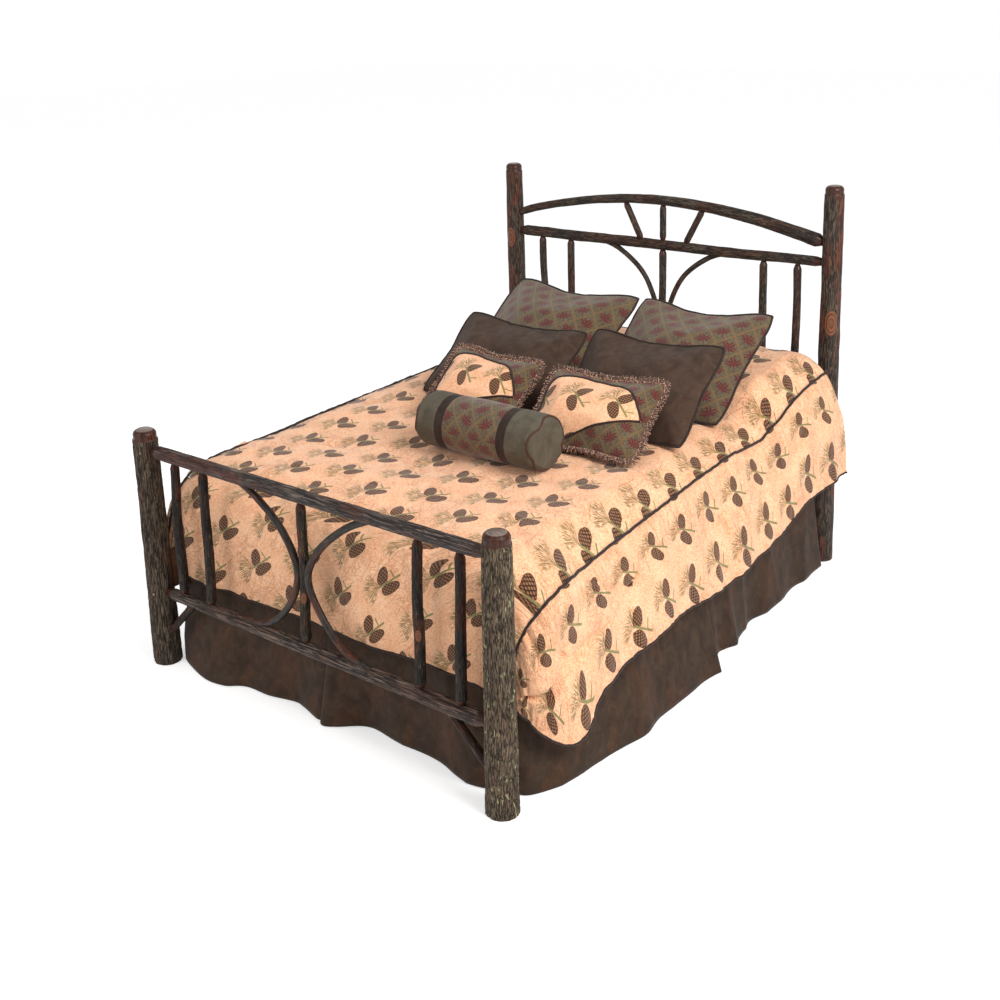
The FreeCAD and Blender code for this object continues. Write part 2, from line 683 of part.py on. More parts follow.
class Arch:
    """The bowed top rail of the headboard, with a pencil point and a tenon at each end."""

    def __init__(self, posts):
        self.name = "head_arch_rail"
        self.bores = []
        height = ARCH_END_HEIGHT
        middles = [post.axis_at(height) for post in posts]
        crown = [
            Vector(x * HALF_SPACING, HEAD, height + z * S.arch_rise) for x, z in ARCH_SHARES[1:-1]]
        self.tips = [
            tenon_tip(middles[i], crown[-i], posts[i].direction(), posts[i].radius_at(height), "rail")
            for i in (0, 1)]
        inward = [(crown[-i] - self.tips[i]).normalize() for i in (0, 1)]
        ends = [
            self.tips[i] + inward[i] * (S.rail_tenon_length + S.rail_point_length) for i in (0, 1)]
        self.radii = (S.arch_tip_diameter / 2, S.arch_middle_diameter / 2, S.arch_butt_diameter / 2)
        points = [ends[0]] + crown + [ends[1]]
        self.course = rounded_course(points)
        solid = bent_pole(points, (S.arch_tip_diameter, S.arch_middle_diameter, S.arch_butt_diameter))
        for i in (0, 1):
            tenon_radius = S.rail_tenon_diameter / 2
            shoulder = self.tips[i] + inward[i] * S.rail_tenon_length
            solid = solid.fuse([
                Part.makeCylinder(tenon_radius, S.rail_tenon_length, self.tips[i], inward[i]),
                Part.makeCone(tenon_radius, self.radii[2 * i], S.rail_point_length, shoulder, inward[i])])
            posts[i].bores.append(cylinder(
                f"{self.name}_mortise_{i + 1}",
                "Sizes.rail_tenon_diameter / 2 + Sizes.fit_gap",
                "Sizes.rail_tenon_length + Sizes.overrun",
                along(self.tips[i], self.tips[i] + inward[i])))
        self.body = shape_object(f"{self.name}_pole", solid.removeSplitter())
        self.tangent = ACROSS

    def axis_at(self, across):
        """The point of the bowed axis at a place across the bed; its tangent is kept too."""
        for edge in self.course.OrderedEdges:
            low, high = edge.FirstParameter, edge.LastParameter
            if not edge.valueAt(low).x <= across <= edge.valueAt(high).x:
                continue
            while high - low > (edge.LastParameter - edge.FirstParameter) / 2 ** 30:
                middle = (low + high) / 2
                if edge.valueAt(middle).x < across:
                    low = middle
                else:
                    high = middle
            self.tangent = edge.tangentAt(low)
            return edge.valueAt(low)
        raise ValueError("the arch does not reach that far across")

    def direction(self):
        return self.tangent

    def radius_at(self, point):
        share = (point.x - self.tips[0].x) / (self.tips[1].x - self.tips[0].x)
        left, middle, right = self.radii
        if share < 1 / 2:
            return blend(left, middle, share * 2)
        return blend(middle, right, share * 2 - 1)

    def finish(self):
        return keep(cut(self.name, self.body, self.bores), self.name)


arch = Arch(head_posts)
rays = [
    pole_between(
        name, middle_rail, low * HALF_SPACING, arch, high * HALF_SPACING, "ray_diameter", "ray_diameter")
    for name, (low, high) in RAY_SHARES.items()]


# Pins that lock the rail tenons in the posts

def tenon_pin(rail_name, rail_bores, post, height):
    """A pin driven in from the post's outer face, through the tenon, and the hole it fills."""
    outward = -1 if post.plan.y < 0 else 1
    inset = S.rail_tenon_length / 3
    radius = post.radius_at(height)
    out = outward * math.sqrt(radius ** 2 - inset ** 2)
    start = post.axis_at(height) + Vector(-post.side * inset, out, 0)
    inward = ALONG * -outward
    name = f"{rail_name}_pin_{'left' if post.side < 0 else 'right'}"
    pin = cylinder(name, "Sizes.pin_diameter / 2", "Sizes.pin_length", along(start, start + inward))
    blind = start + inward * S.pin_length
    hole = "Sizes.pin_diameter / 2 + Sizes.fit_gap"
    for place, bores in (("post", post.bores), ("rail", rail_bores)):
        bores.append(cylinder(
            f"{name}_{place}_hole", hole, "Sizes.pin_length + Sizes.overrun", along(blind, start)))
    return pin


pins = []
for rail, posts, height in (
        (foot_top_rail, foot_posts, S.foot_top_rail_height),
        (foot_bottom_rail, foot_posts, S.foot_bottom_rail_height),
        (middle_rail, head_posts, S.middle_rail_height),
        (lower_rail, head_posts, S.lower_rail_height),
        (arch, head_posts, ARCH_END_HEIGHT)):
    pins += [tenon_pin(rail.name, rail.bores, post, height) for post in posts]
keep(grouped("rail_tenon_pins", pins), "rail_tenon_pins")


# Side rails with their cleats, and the steel that hooks them to the posts

SIDE_RAIL_ACROSS = HALF_MATTRESS + S.mattress_play + S.side_rail_thickness / 2
SIDE_RAIL_LENGTH = (
    "Sizes.mattress_length + 2 * (Sizes.end_space - Sizes.flat_depth - 2 * Sizes.plate_thickness)")
SIDE_RAIL_TOP = S.side_rail_bottom + S.side_rail_depth


def screw_place(corner, height, direction):
    """Where a screw's head lies against a plate, with its Z axis into the wood."""
    head = corner.multVec(Vector(0, S.plate_thickness, height))
    return along(head, head + corner.Rotation.multVec(direction))


def screw(name, place):
    """A flat-headed wood screw from its head down."""
    stations = (
        ("0", "0"),
        ("Sizes.screw_head_diameter / 2", "0"),
        ("Sizes.screw_head_diameter / 2", "Sizes.screw_head_height"),
        ("Sizes.screw_diameter / 2", "Sizes.screw_head_height"),
        ("Sizes.screw_diameter / 2", "Sizes.screw_length"),
        ("0", "Sizes.screw_length"))
    item = turned_body(name, stations)
    item.Placement = place
    return item


def screw_hole(name, place):
    """The sunk seat and the pilot hole of one screw."""
    seat = cylinder(
        f"{name}_seat", "Sizes.screw_head_diameter / 2 + Sizes.fit_gap",
        "Sizes.screw_head_height", place)
    pilot = cylinder(
        f"{name}_pilot", "Sizes.screw_diameter / 2 + Sizes.fit_gap", "Sizes.screw_length", place)
    return joined(f"{name}_hole", [seat, pilot])


def hook_arms(name, corner):
    """Two hooks that reach through the post plate and hang down behind it."""
    arms = []
    for index, side in enumerate((-1, 1), start=1):
        low = side * S.hook_spacing / 2 - S.hook_height / 2
        arm_place = corner * Placement(Vector(0, (S.plate_thickness - S.hook_reach) / 2, low), Rotation())
        arms.append(box(
            f"{name}_arm_{index}", "Sizes.hook_width", "Sizes.hook_reach + Sizes.plate_thickness",
            "Sizes.hook_height", arm_place))
        lip_place = corner * Placement(
            Vector(0, -(S.hook_reach + S.fit_gap) / 2, low - S.hook_lip), Rotation())
        arms.append(box(
            f"{name}_lip_{index}", "Sizes.hook_width", "Sizes.hook_reach - Sizes.fit_gap",
            "Sizes.hook_height + Sizes.hook_lip", lip_place))
    return arms


def plate_slots(name, corner):
    """Slots in the post plate, tall enough for a hook to enter and drop."""
    slots = []
    for index, side in enumerate((-1, 1), start=1):
        low = side * S.hook_spacing / 2 - S.hook_height / 2
        place = corner * Placement(Vector(0, 0, low), Rotation())
        slots.append(box(
            f"{name}_slot_{index}", "Sizes.hook_width + 2 * Sizes.fit_gap", "Sizes.overrun",
            "Sizes.hook_height + Sizes.hook_lip", place))
    return slots


post_plates = []
hook_plates = []
screws = []
side_rail_cuts = {-1: [], 1: []}
for posts, end in ((foot_posts, -1), (head_posts, 1)):
    for post in posts:
        corner = Placement(
            Vector(
                post.side * (SIDE_RAIL_ACROSS + S.plate_shift), end * (HEAD - S.flat_depth),
                S.side_rail_bottom + S.side_rail_depth / 2),
            Rotation(UP, 0 if end < 0 else 180))
        name = f"{'foot' if end < 0 else 'head'}_{'left' if post.side < 0 else 'right'}"
        half_plate = S.plate_height / 2
        post_plate = box(
            f"{name}_post_plate_blank", "Sizes.plate_width", "Sizes.plate_thickness", "Sizes.plate_height",
            corner * Placement(Vector(0, S.plate_thickness / 2, -half_plate), Rotation()))
        rail_plate = box(
            f"{name}_rail_plate_blank", "Sizes.plate_width", "Sizes.plate_thickness", "Sizes.plate_height",
            corner * Placement(Vector(0, S.plate_thickness * 3 / 2, -half_plate), Rotation()))
        flat = box(
            f"{name}_flat", "Sizes.foot_post_base_diameter * 2", "Sizes.foot_post_base_diameter",
            "Sizes.side_rail_depth + 2 * Sizes.fit_gap",
            corner * Placement(
                Vector(0, S.foot_post_base_diameter / 2, -S.side_rail_depth / 2 - S.fit_gap), Rotation()))
        pocket = box(
            f"{name}_pocket", "Sizes.hook_width * 2", "Sizes.hook_reach + Sizes.fit_gap + Sizes.overrun",
            "Sizes.hook_spacing + Sizes.hook_height + 2 * (Sizes.hook_lip + Sizes.fit_gap)",
            corner * Placement(
                Vector(
                    0, (S.overrun - S.hook_reach - S.fit_gap) / 2,
                    -(S.hook_spacing + S.hook_height) / 2 - S.hook_lip - S.fit_gap),
                Rotation()))
        post.bores += [flat, pocket]
        post_holes = []
        rail_holes = []
        for index, rise in enumerate((-1, 1), start=1):
            for wood, direction, holes in (("post", -ALONG, post_holes), ("rail", ALONG, rail_holes)):
                place = screw_place(corner, rise * S.screw_spacing / 2, direction)
                screws.append(screw(f"{name}_{wood}_screw_{index}", place))
                holes.append(screw_hole(f"{name}_{wood}_screw_{index}", place))
        post.bores += post_holes
        side_rail_cuts[post.side] += rail_holes
        post_plates.append(cut(
            f"{name}_post_plate", post_plate, plate_slots(name, corner) + post_holes))
        hooked = joined(f"{name}_hooked_plate", [rail_plate] + hook_arms(name, corner))
        hook_plates.append(cut(f"{name}_rail_plate", hooked, rail_holes))
keep(grouped("post_slot_plates", post_plates), "post_slot_plates")
keep(grouped("side_rail_hook_plates", hook_plates), "side_rail_hook_plates")
keep(grouped("plate_screws", screws), "plate_screws")

for side in (-1, 1):
    hand = "left" if side < 0 else "right"
    board = box(
        f"side_rail_{hand}_board", "Sizes.side_rail_thickness", SIDE_RAIL_LENGTH, "Sizes.side_rail_depth",
        Placement(Vector(side * SIDE_RAIL_ACROSS, 0, S.side_rail_bottom), Rotation()))
    keep(cut(f"side_rail_{hand}", board, side_rail_cuts[side]), f"side_rail_{hand}")
    inner_face = SIDE_RAIL_ACROSS - S.side_rail_thickness / 2
    keep(box(
        f"slat_cleat_{hand}", "Sizes.cleat_width", f"{SIDE_RAIL_LENGTH} - 2 * Sizes.cleat_setback",
        "Sizes.cleat_depth",
        Placement(Vector(side * (inner_face - S.cleat_width / 2), 0, S.side_rail_bottom), Rotation())),
        f"slat_cleat_{hand}")

for part in foot_posts + head_posts + [foot_top_rail, foot_bottom_rail, middle_rail, lower_rail, arch]:
    part.finish()
for part in foot_spindles + braces + head_spindles + rays:
    part.finish()


# Slats, centre beam and its legs

slat_length = "Sizes.mattress_width + 2 * (Sizes.mattress_play - Sizes.slat_end_play)"
slat_step = (S.mattress_length - S.slat_width) / (SLAT_COUNT - 1)
slats = [
    box(
        f"slat_{index + 1}", slat_length, "Sizes.slat_width", "Sizes.slat_thickness",
        Placement(Vector(0, S.slat_width / 2 - MATTRESS_END + index * slat_step, SLAT_SEAT), Rotation()))
    for index in range(SLAT_COUNT)]
keep(grouped("slats", slats), "slats")
keep(box(
    "centre_beam", "Sizes.beam_width", "Sizes.mattress_length + 2 * Sizes.beam_overhang",
    "Sizes.beam_depth",
    Placement(UP * (SLAT_SEAT - S.beam_depth), Rotation())), "centre_beam")

legs = []
shoes = []
for index in range(LEG_COUNT):
    place = Vector(0, MATTRESS_END * ((2 * index + 1) / LEG_COUNT - 1), 0)
    shoes.append(cylinder(
        f"leg_shoe_{index + 1}", "Sizes.leg_shoe_diameter / 2", "Sizes.leg_shoe_height",
        Placement(place, Rotation())))
    legs.append(cylinder(
        f"centre_leg_{index + 1}", "Sizes.leg_diameter / 2",
        "Sizes.side_rail_bottom + Sizes.cleat_depth - Sizes.beam_depth - Sizes.leg_shoe_height",
        Placement(place + UP * S.leg_shoe_height, Rotation())))
keep(grouped("centre_legs", legs), "centre_legs")
keep(grouped("leg_shoes", shoes), "leg_shoes")


# Box spring and mattress

def edge_round(name, block, radius, chosen):
    """The block with the chosen edges rounded."""
    doc.recompute()
    item = doc.addObject("Part::Fillet", name)
    item.Base = block
    item.Edges = [
        (index, radius, radius) for index, edge in enumerate(block.Shape.Edges, start=1) if chosen(edge)]
    return item


def is_upright(edge):
    box_of_edge = edge.BoundBox
    return box_of_edge.XLength < box_of_edge.ZLength and box_of_edge.YLength < box_of_edge.ZLength


def is_level(edge):
    return edge.BoundBox.ZLength < S.fit_gap


def bedding_block(name, height, seat):
    """A rounded block the size of the mattress in plan."""
    block = box(
        f"{name}_block", "Sizes.mattress_width", "Sizes.mattress_length", height,
        Placement(UP * seat, Rotation()))
    cornered = edge_round(f"{name}_corners", block, S.bed_corner_radius, is_upright)
    return keep(edge_round(name, cornered, S.bed_edge_radius, is_level), name)


bedding_block("box_spring", "Sizes.box_spring_height", SLAT_TOP)
bedding_block("mattress", "Sizes.mattress_height", MATTRESS_SEAT)


# Skirt: a deck under the mattress and drops that fall outside the side rails

deck_block = box(
    "skirt_deck_block", "Sizes.mattress_width", "Sizes.mattress_length", "Sizes.deck_thickness",
    Placement(UP * DECK_SEAT, Rotation()))
keep(edge_round("skirt_deck", deck_block, S.bed_corner_radius, is_upright), "skirt_deck")


def waved_line(start, end, outward, depth, folds):
    """Arcs that swing out and in along a line, two to a fold; a plain line where there is no depth."""
    edges = []
    count = 2 * folds
    for index in range(count):
        first = blend(start, end, index / count)
        last = blend(start, end, (index + 1) / count)
        if depth:
            swing = outward * (depth / 2 * (-1) ** index)
            edges.append(Part.Arc(first, (first + last) / 2 + swing, last).toShape())
        else:
            edges.append(Part.LineSegment(first, last).toShape())
    return edges


def skirt_drop(start, end, outward, levels):
    """One panel of cloth between two ends: levels are (height, distance out, fold depth)."""
    sections = []
    for height, out, depth in levels:
        shift = outward * out + UP * height
        near = waved_line(start + shift, end + shift, outward, depth, SKIRT_FOLDS)
        face = outward * S.skirt_thickness
        far = waved_line(end + shift + face, start + shift + face, outward, -depth, SKIRT_FOLDS)
        ends = [
            Part.LineSegment(end + shift, end + shift + face).toShape(),
            Part.LineSegment(start + shift + face, start + shift).toShape()]
        sections.append(Part.Wire(near + ends[:1] + far + ends[1:]))
    return Part.makeLoft(sections, True, True)


def skirt_side(name, first, last, outward, levels):
    """Two neighbouring panels with a split between them."""
    middle = (first + last) / 2
    half_split = (last - first).normalize() * (S.skirt_split / 2)
    panels = [
        skirt_drop(first, middle - half_split, outward, levels),
        skirt_drop(middle + half_split, last, outward, levels)]
    return keep(shape_object(name, Part.makeCompound(panels)), name)


DECK_TOP = DECK_SEAT + S.deck_thickness
LEDGE_HEIGHT = DECK_TOP - S.skirt_ledge_drop
side_ledge = S.mattress_play + S.side_rail_thickness + 2 * S.fit_gap
side_levels = (
    (DECK_TOP, S.fit_gap, 0),
    (LEDGE_HEIGHT, side_ledge, 0),
    (blend(S.skirt_hem_height, LEDGE_HEIGHT, 1 / 2), blend(S.skirt_side_flare, side_ledge, 1 / 2),
     S.skirt_fold_depth / 2),
    (S.skirt_hem_height, S.skirt_side_flare, S.skirt_fold_depth))
foot_ledge = S.comforter_foot_bulge - S.comforter_wall - S.skirt_thickness - 2 * S.fit_gap
foot_levels = (
    (DECK_TOP, S.fit_gap, 0),
    (S.comforter_foot_hem, foot_ledge, 0),
    (blend(S.skirt_hem_height, S.comforter_foot_hem, 1 / 2), blend(S.skirt_foot_flare, foot_ledge, 1 / 2),
     S.skirt_fold_depth / 2),
    (S.skirt_hem_height, S.skirt_foot_flare, S.skirt_fold_depth))
side_reach = MATTRESS_END - S.skirt_end_setback
foot_reach = HALF_MATTRESS - S.skirt_end_setback
skirt_side(
    "skirt_left", Vector(-HALF_MATTRESS, -side_reach, 0), Vector(-HALF_MATTRESS, side_reach, 0),
    -ACROSS, side_levels)
skirt_side(
    "skirt_right", Vector(HALF_MATTRESS, -side_reach, 0), Vector(HALF_MATTRESS, side_reach, 0),
    ACROSS, side_levels)
skirt_side(
    "skirt_foot", Vector(-foot_reach, -MATTRESS_END, 0), Vector(foot_reach, -MATTRESS_END, 0),
    -ALONG, foot_levels)


# Pillows

def seam_outline(width, height, grow):
    """The outline of a standing pillow's seam, its sides pulled in between the corners."""
    half = width / 2 + grow
    low = Vector(0, 0, -grow)
    high = Vector(0, 0, height + grow)
    right = Vector(half, 0, 0)
    middle = (low + high) / 2
    drawn = right - ACROSS * S.pillow_draw
    return Part.Wire([
        Part.LineSegment(low - right, low + right).toShape(),
        Part.Arc(low + right, middle + drawn, high + right).toShape(),
        Part.LineSegment(high + right, high - right).toShape(),
        Part.Arc(high - right, middle - drawn, low - right).toShape()])


def fringe_band(width, height):
    """A flat band all round a standing pillow's seam."""
    band = Part.Face(seam_outline(width, height, S.fringe_width))
    band = band.cut(Part.Face(seam_outline(width, height, S.fit_gap)))
    band.translate(ALONG * (-S.fringe_thickness / 2))
    return band.extrude(ALONG * S.fringe_thickness).Solids[0]


def pillow(width, height, thickness, flat_back=False):
    """A crowned pillow standing on its lower seam, its thickness along Y."""
    sections = []
    edge = S.pillow_edge / 2
    for rise, plump, draw in PILLOW_SHARES:
        half = width / 2 - draw * S.pillow_draw
        swell = edge + plump * (thickness / 2 - edge)
        level = UP * (rise * height)
        crown = edge - 2 * swell if flat_back else -swell
        front = [Vector(-half, -edge, 0), Vector(0, crown, 0), Vector(half, -edge, 0)]
        back = [Vector(half, edge, 0), Vector(0, swell, 0), Vector(-half, edge, 0)]
        for spot in front + back:
            spot.z = level.z
        flat_front = plump == 0
        front_edge = Part.LineSegment(front[0], front[2]) if flat_front else Part.Arc(*front)
        back_edge = Part.LineSegment(back[0], back[2]) if flat_front or flat_back else Part.Arc(*back)
        sections.append(Part.Wire([
            front_edge.toShape(),
            Part.LineSegment(front[2], back[0]).toShape(),
            back_edge.toShape(),
            Part.LineSegment(back[2], front[0]).toShape()]))
    return Part.makeLoft(sections, True, False)


def rest_on(shape, placement, level):
    """The placement lifted or lowered so that the shape's lowest point lies just above a level."""
    placed = shape.copy()
    placed.Placement = placement
    lift = level + S.rest_gap - placed.optimalBoundingBox(False, False).ZMin
    return Placement(placement.Base + UP * lift, placement.Rotation)


def leaning(kind, side):
    """Where one of a pair of pillows stands, leaning back towards the headboard."""
    across = getattr(S, f"{kind}_shift") + side * getattr(S, f"{kind}_spread")
    return Placement(
        Vector(across, MATTRESS_END - getattr(S, f"{kind}_setback"), COMFORTER_TOP),
        Rotation(ACROSS, -PILLOW_LEANS[kind]))


for kind, label in (("euro", "euro_sham"), ("sham", "suede_sham"), ("accent", "accent_pillow")):
    width = getattr(S, f"{kind}_width")
    height = getattr(S, f"{kind}_height")
    solid = pillow(width, height, getattr(S, f"{kind}_thickness"))
    fringe = fringe_band(width, height) if kind == "accent" else None
    for side in (-1, 1):
        hand = "left" if side < 0 else "right"
        place = rest_on(fringe or solid, leaning(kind, side), COMFORTER_TOP)
        keep(shape_object(f"{label}_{hand}", solid, place), f"{label}_{hand}")
        if fringe:
            keep(shape_object(f"accent_fringe_{hand}", fringe, place), f"accent_fringe_{hand}")

sleeper = pillow(S.sleeper_width, S.sleeper_length, S.sleeper_thickness, flat_back=True)
for side in (-1, 1):
    name = f"sleeping_pillow_{'left' if side < 0 else 'right'}"
    place = Placement(
        Vector(
            side * (S.sleeper_width + S.sleeper_gap) / 2,
            MATTRESS_END - S.sleeper_setback - S.sleeper_length, MATTRESS_TOP),
        Rotation(ACROSS, -90))
    keep(shape_object(name, sleeper, rest_on(sleeper, place, MATTRESS_TOP)), name)

bolster = turned_body("bolster", (
    ("0", "0"),
    ("Sizes.bolster_diameter / 2 - Sizes.bolster_edge", "0"),
    ("Sizes.bolster_diameter / 2 - Sizes.bolster_edge / 3", "Sizes.bolster_edge / 3"),
    ("Sizes.bolster_diameter / 2", "Sizes.bolster_edge"),
    ("Sizes.bolster_diameter / 2", "Sizes.bolster_length - Sizes.bolster_edge"),
    ("Sizes.bolster_diameter / 2 - Sizes.bolster_edge / 3", "Sizes.bolster_length - Sizes.bolster_edge / 3"),
    ("Sizes.bolster_diameter / 2 - Sizes.bolster_edge", "Sizes.bolster_length"),
    ("0", "Sizes.bolster_length")))
bolster_end = Vector(
    S.bolster_shift - S.bolster_length / 2, MATTRESS_END - S.bolster_setback,
    COMFORTER_TOP + S.rest_gap + S.bolster_diameter / 2)
bolster.Placement = along(bolster_end, bolster_end + ACROSS)
keep(bolster, "bolster")


# Comforter: an outer form less an inner one, trimmed to its hem

def puffed_line(start, end, outward, depth, count):
    """Arcs that all swell outwards between tufts along a line."""
    edges = []
    for index in range(count):
        first = blend(start, end, index / count)
        last = blend(start, end, (index + 1) / count)
        edges.append(Part.Arc(first, (first + last) / 2 + outward * depth, last).toShape())
    return edges


def plan_section(height, side_out, foot_out, corner, puff, shift=0):
    """The comforter's outline in plan at one height, rounded at the foot corners."""
    side = HALF_MATTRESS + side_out
    foot = -MATTRESS_END - foot_out
    head = MATTRESS_END + S.overrun
    inner = HALF_MATTRESS - corner
    slant = corner * (1 - math.sqrt(1 / 2))
    level = UP * height + ACROSS * shift

    def spot(across, along_bed):
        return Vector(across, along_bed, 0) + level

    edges = puffed_line(spot(side, head), spot(side, foot + corner), ACROSS, puff, SIDE_PUFFS)
    edges.append(Part.Arc(
        spot(side, foot + corner), spot(side - slant, foot + slant), spot(side - corner, foot)).toShape())
    edges.append(Part.LineSegment(spot(side - corner, foot), spot(inner, foot)).toShape())
    edges += puffed_line(spot(inner, foot), spot(-inner, foot), -ALONG, puff, FOOT_PUFFS)
    edges.append(Part.LineSegment(spot(-inner, foot), spot(corner - side, foot)).toShape())
    edges.append(Part.Arc(
        spot(corner - side, foot), spot(slant - side, foot + slant), spot(-side, foot + corner)).toShape())
    edges += puffed_line(spot(-side, foot + corner), spot(-side, head), -ACROSS, puff, SIDE_PUFFS)
    edges.append(Part.LineSegment(spot(-side, head), spot(side, head)).toShape())
    return Part.Wire(edges)


def drop_levels(inset):
    """Plan sections up the drops; inset is how far inside the outer face they lie."""
    low = S.comforter_corner_hem - S.overrun
    high = COMFORTER_TOP - S.comforter_loft
    return [
        plan_section(
            blend(low, high, rise), blend(S.comforter_side_bulge, S.comforter_side_flare, flare) - inset,
            S.comforter_foot_bulge - inset,
            blend(S.comforter_corner_radius, S.comforter_lobe_radius, flare) - inset,
            S.comforter_puff * puff, S.comforter_shift)
        for rise, flare, puff in DROP_SHARES]


def rise_form(inset, drop):
    """The part raised by the sleeping pillows; drop is how far below the top it lies."""
    start = MATTRESS_END - S.sleeper_setback - S.sleeper_length - S.comforter_rise_lead
    end = MATTRESS_END + S.overrun
    side = HALF_MATTRESS - inset
    low = S.comforter_side_hem - S.overrun * 3 - drop
    lowest_crest = COMFORTER_TOP - drop - S.comforter_loft / 2
    highest_crest = COMFORTER_TOP - drop + S.comforter_rise
    across_bend, up_bend = RISE_BEND_SHARES
    sections = []
    for share, rise, fullness in RISE_SHARES:
        place = blend(start, end, share)
        least_flare = (S.comforter_side_bulge + S.comforter_side_flare) / 2
        hem = Vector(side + blend(least_flare, S.comforter_head_flare, fullness), place, low)
        shoulder = Vector(
            side + S.comforter_head_bulge * fullness, place,
            MATTRESS_TOP - drop + S.comforter_head_shoulder * fullness)
        bend = Vector(blend(shoulder.x, hem.x, across_bend), place, blend(low, shoulder.z, up_bend))
        crest = Vector(
            side + S.comforter_side_bulge - S.comforter_shoulder, place,
            blend(lowest_crest, highest_crest, rise))
        right = [hem, bend, shoulder, crest]
        left = [Vector(-spot.x, spot.y, spot.z) for spot in reversed(right)]
        section = Part.Wire([
            Part.LineSegment(left[3], right[0]).toShape(), Part.Arc(*right[:3]).toShape(),
            Part.LineSegment(right[2], right[3]).toShape(), Part.LineSegment(right[3], left[0]).toShape(),
            Part.LineSegment(left[0], left[1]).toShape(), Part.Arc(*left[1:]).toShape()])
        section.translate(ACROSS * S.comforter_shift)
        sections.append(section)
    return Part.makeLoft(sections, True, False)


def hem_trim(side, shares):
    """Everything below the sloping hem of one side."""
    head = MATTRESS_END + S.overrun * 2
    foot = -MATTRESS_END - S.comforter_foot_bulge - S.overrun
    hem = [
        Vector(0, blend(head, foot, share), blend(S.comforter_side_hem, S.comforter_corner_hem, fall))
        for share, fall in shares]
    floor = [Vector(0, point.y, 0) for point in (hem[-1], hem[0])]
    outline = Part.makePolygon(hem + floor + hem[:1])
    return Part.Face(outline).extrude(ACROSS * (side * HALF_SPACING * 2))


def foot_trim(first, last, height):
    """A block under a stretch of the foot drop, from one place across the bed to another."""
    depth = S.comforter_foot_bulge + S.overrun * 2
    corner = Vector(first, -MATTRESS_END - S.comforter_foot_bulge - S.overrun, 0)
    return Part.makeBox(last - first, depth, height, corner)


outer_sections = drop_levels(0)
for below, side_draw, foot_draw, puff in SHOULDER_SHARES:
    outer_sections.append(plan_section(
        COMFORTER_TOP - below * S.comforter_loft,
        S.comforter_side_bulge - side_draw * S.comforter_shoulder,
        S.comforter_foot_bulge - foot_draw * S.comforter_shoulder,
        S.comforter_corner_radius, S.comforter_puff * puff))
inner_sections = drop_levels(S.comforter_wall)
inner_sections.append(plan_section(
    MATTRESS_TOP + S.fit_gap, S.fit_gap, S.fit_gap, S.bed_corner_radius, S.fit_gap))
outer = Part.makeLoft(outer_sections, True, True).fuse(rise_form(0, 0))
inner = Part.makeLoft(inner_sections, True, True).fuse(rise_form(S.comforter_wall, S.comforter_loft))

rail_inside = SIDE_RAIL_ACROSS - S.side_rail_thickness / 2 - S.comforter_rail_slot
rail_outside = SIDE_RAIL_ACROSS + S.side_rail_thickness / 2 + S.comforter_rail_slot
slot_height = SIDE_RAIL_TOP + S.comforter_rail_slot
past_head = Part.makeBox(
    HALF_SPACING * 4, S.overrun * 2, COMFORTER_TOP * 2,
    Vector(-HALF_SPACING * 2, MATTRESS_END + S.comforter_head_reach, 0))
comforter = outer.cut([
    inner, hem_trim(-1, HEM_LEFT_SHARES), hem_trim(1, HEM_RIGHT_SHARES), past_head,
    foot_trim(-rail_inside, rail_inside, S.comforter_foot_hem),
    foot_trim(rail_inside, rail_outside, slot_height),
    foot_trim(-rail_outside, -rail_inside, slot_height)])
keep(shape_object("comforter", max(comforter.Solids, key=lambda piece: piece.Volume)), "comforter")


# Every object must be sound before anything is written

doc.recompute()
for item in doc.Objects:
    if {"Invalid", "Error"} & set(item.State):
        raise RuntimeError(f"{item.Label}: {item.State}")
for node in NODES:
    if node.Shape.isNull() or not node.Shape.isValid():
        raise RuntimeError(f"{node.Label}: its shape is empty or broken")

os.makedirs("parts", exist_ok=True)
for node in NODES:
    node.Shape.exportStep(f"parts/{node.Label}.step")
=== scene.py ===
"""Looks of the rustic log bed: bark poles, slatted frame and dressed bedding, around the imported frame."""

import math

import bmesh
import bpy
import numpy as np
from mathutils import Matrix, Vector


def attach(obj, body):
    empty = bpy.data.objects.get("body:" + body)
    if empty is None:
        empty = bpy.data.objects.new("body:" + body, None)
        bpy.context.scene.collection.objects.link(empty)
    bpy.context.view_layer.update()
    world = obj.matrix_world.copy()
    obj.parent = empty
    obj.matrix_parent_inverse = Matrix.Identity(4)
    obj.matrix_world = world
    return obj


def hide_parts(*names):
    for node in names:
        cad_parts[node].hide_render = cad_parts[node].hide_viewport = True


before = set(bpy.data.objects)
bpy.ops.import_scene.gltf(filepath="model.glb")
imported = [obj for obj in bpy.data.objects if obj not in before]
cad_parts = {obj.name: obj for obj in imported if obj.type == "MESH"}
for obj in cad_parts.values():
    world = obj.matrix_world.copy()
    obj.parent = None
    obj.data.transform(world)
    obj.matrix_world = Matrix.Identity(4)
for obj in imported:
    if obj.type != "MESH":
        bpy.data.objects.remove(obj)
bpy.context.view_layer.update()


# Helpers for numbers

def paint(red, green, blue):
    """A colour given as on a paint card, 0 to 255, as the shader wants it."""
    def linear(value):
        share = value / 255
        return share / 12.92 if share <= 0.04045 else ((share + 0.055) / 1.055) ** 2.4
    return (linear(red), linear(green), linear(blue), 1.0)


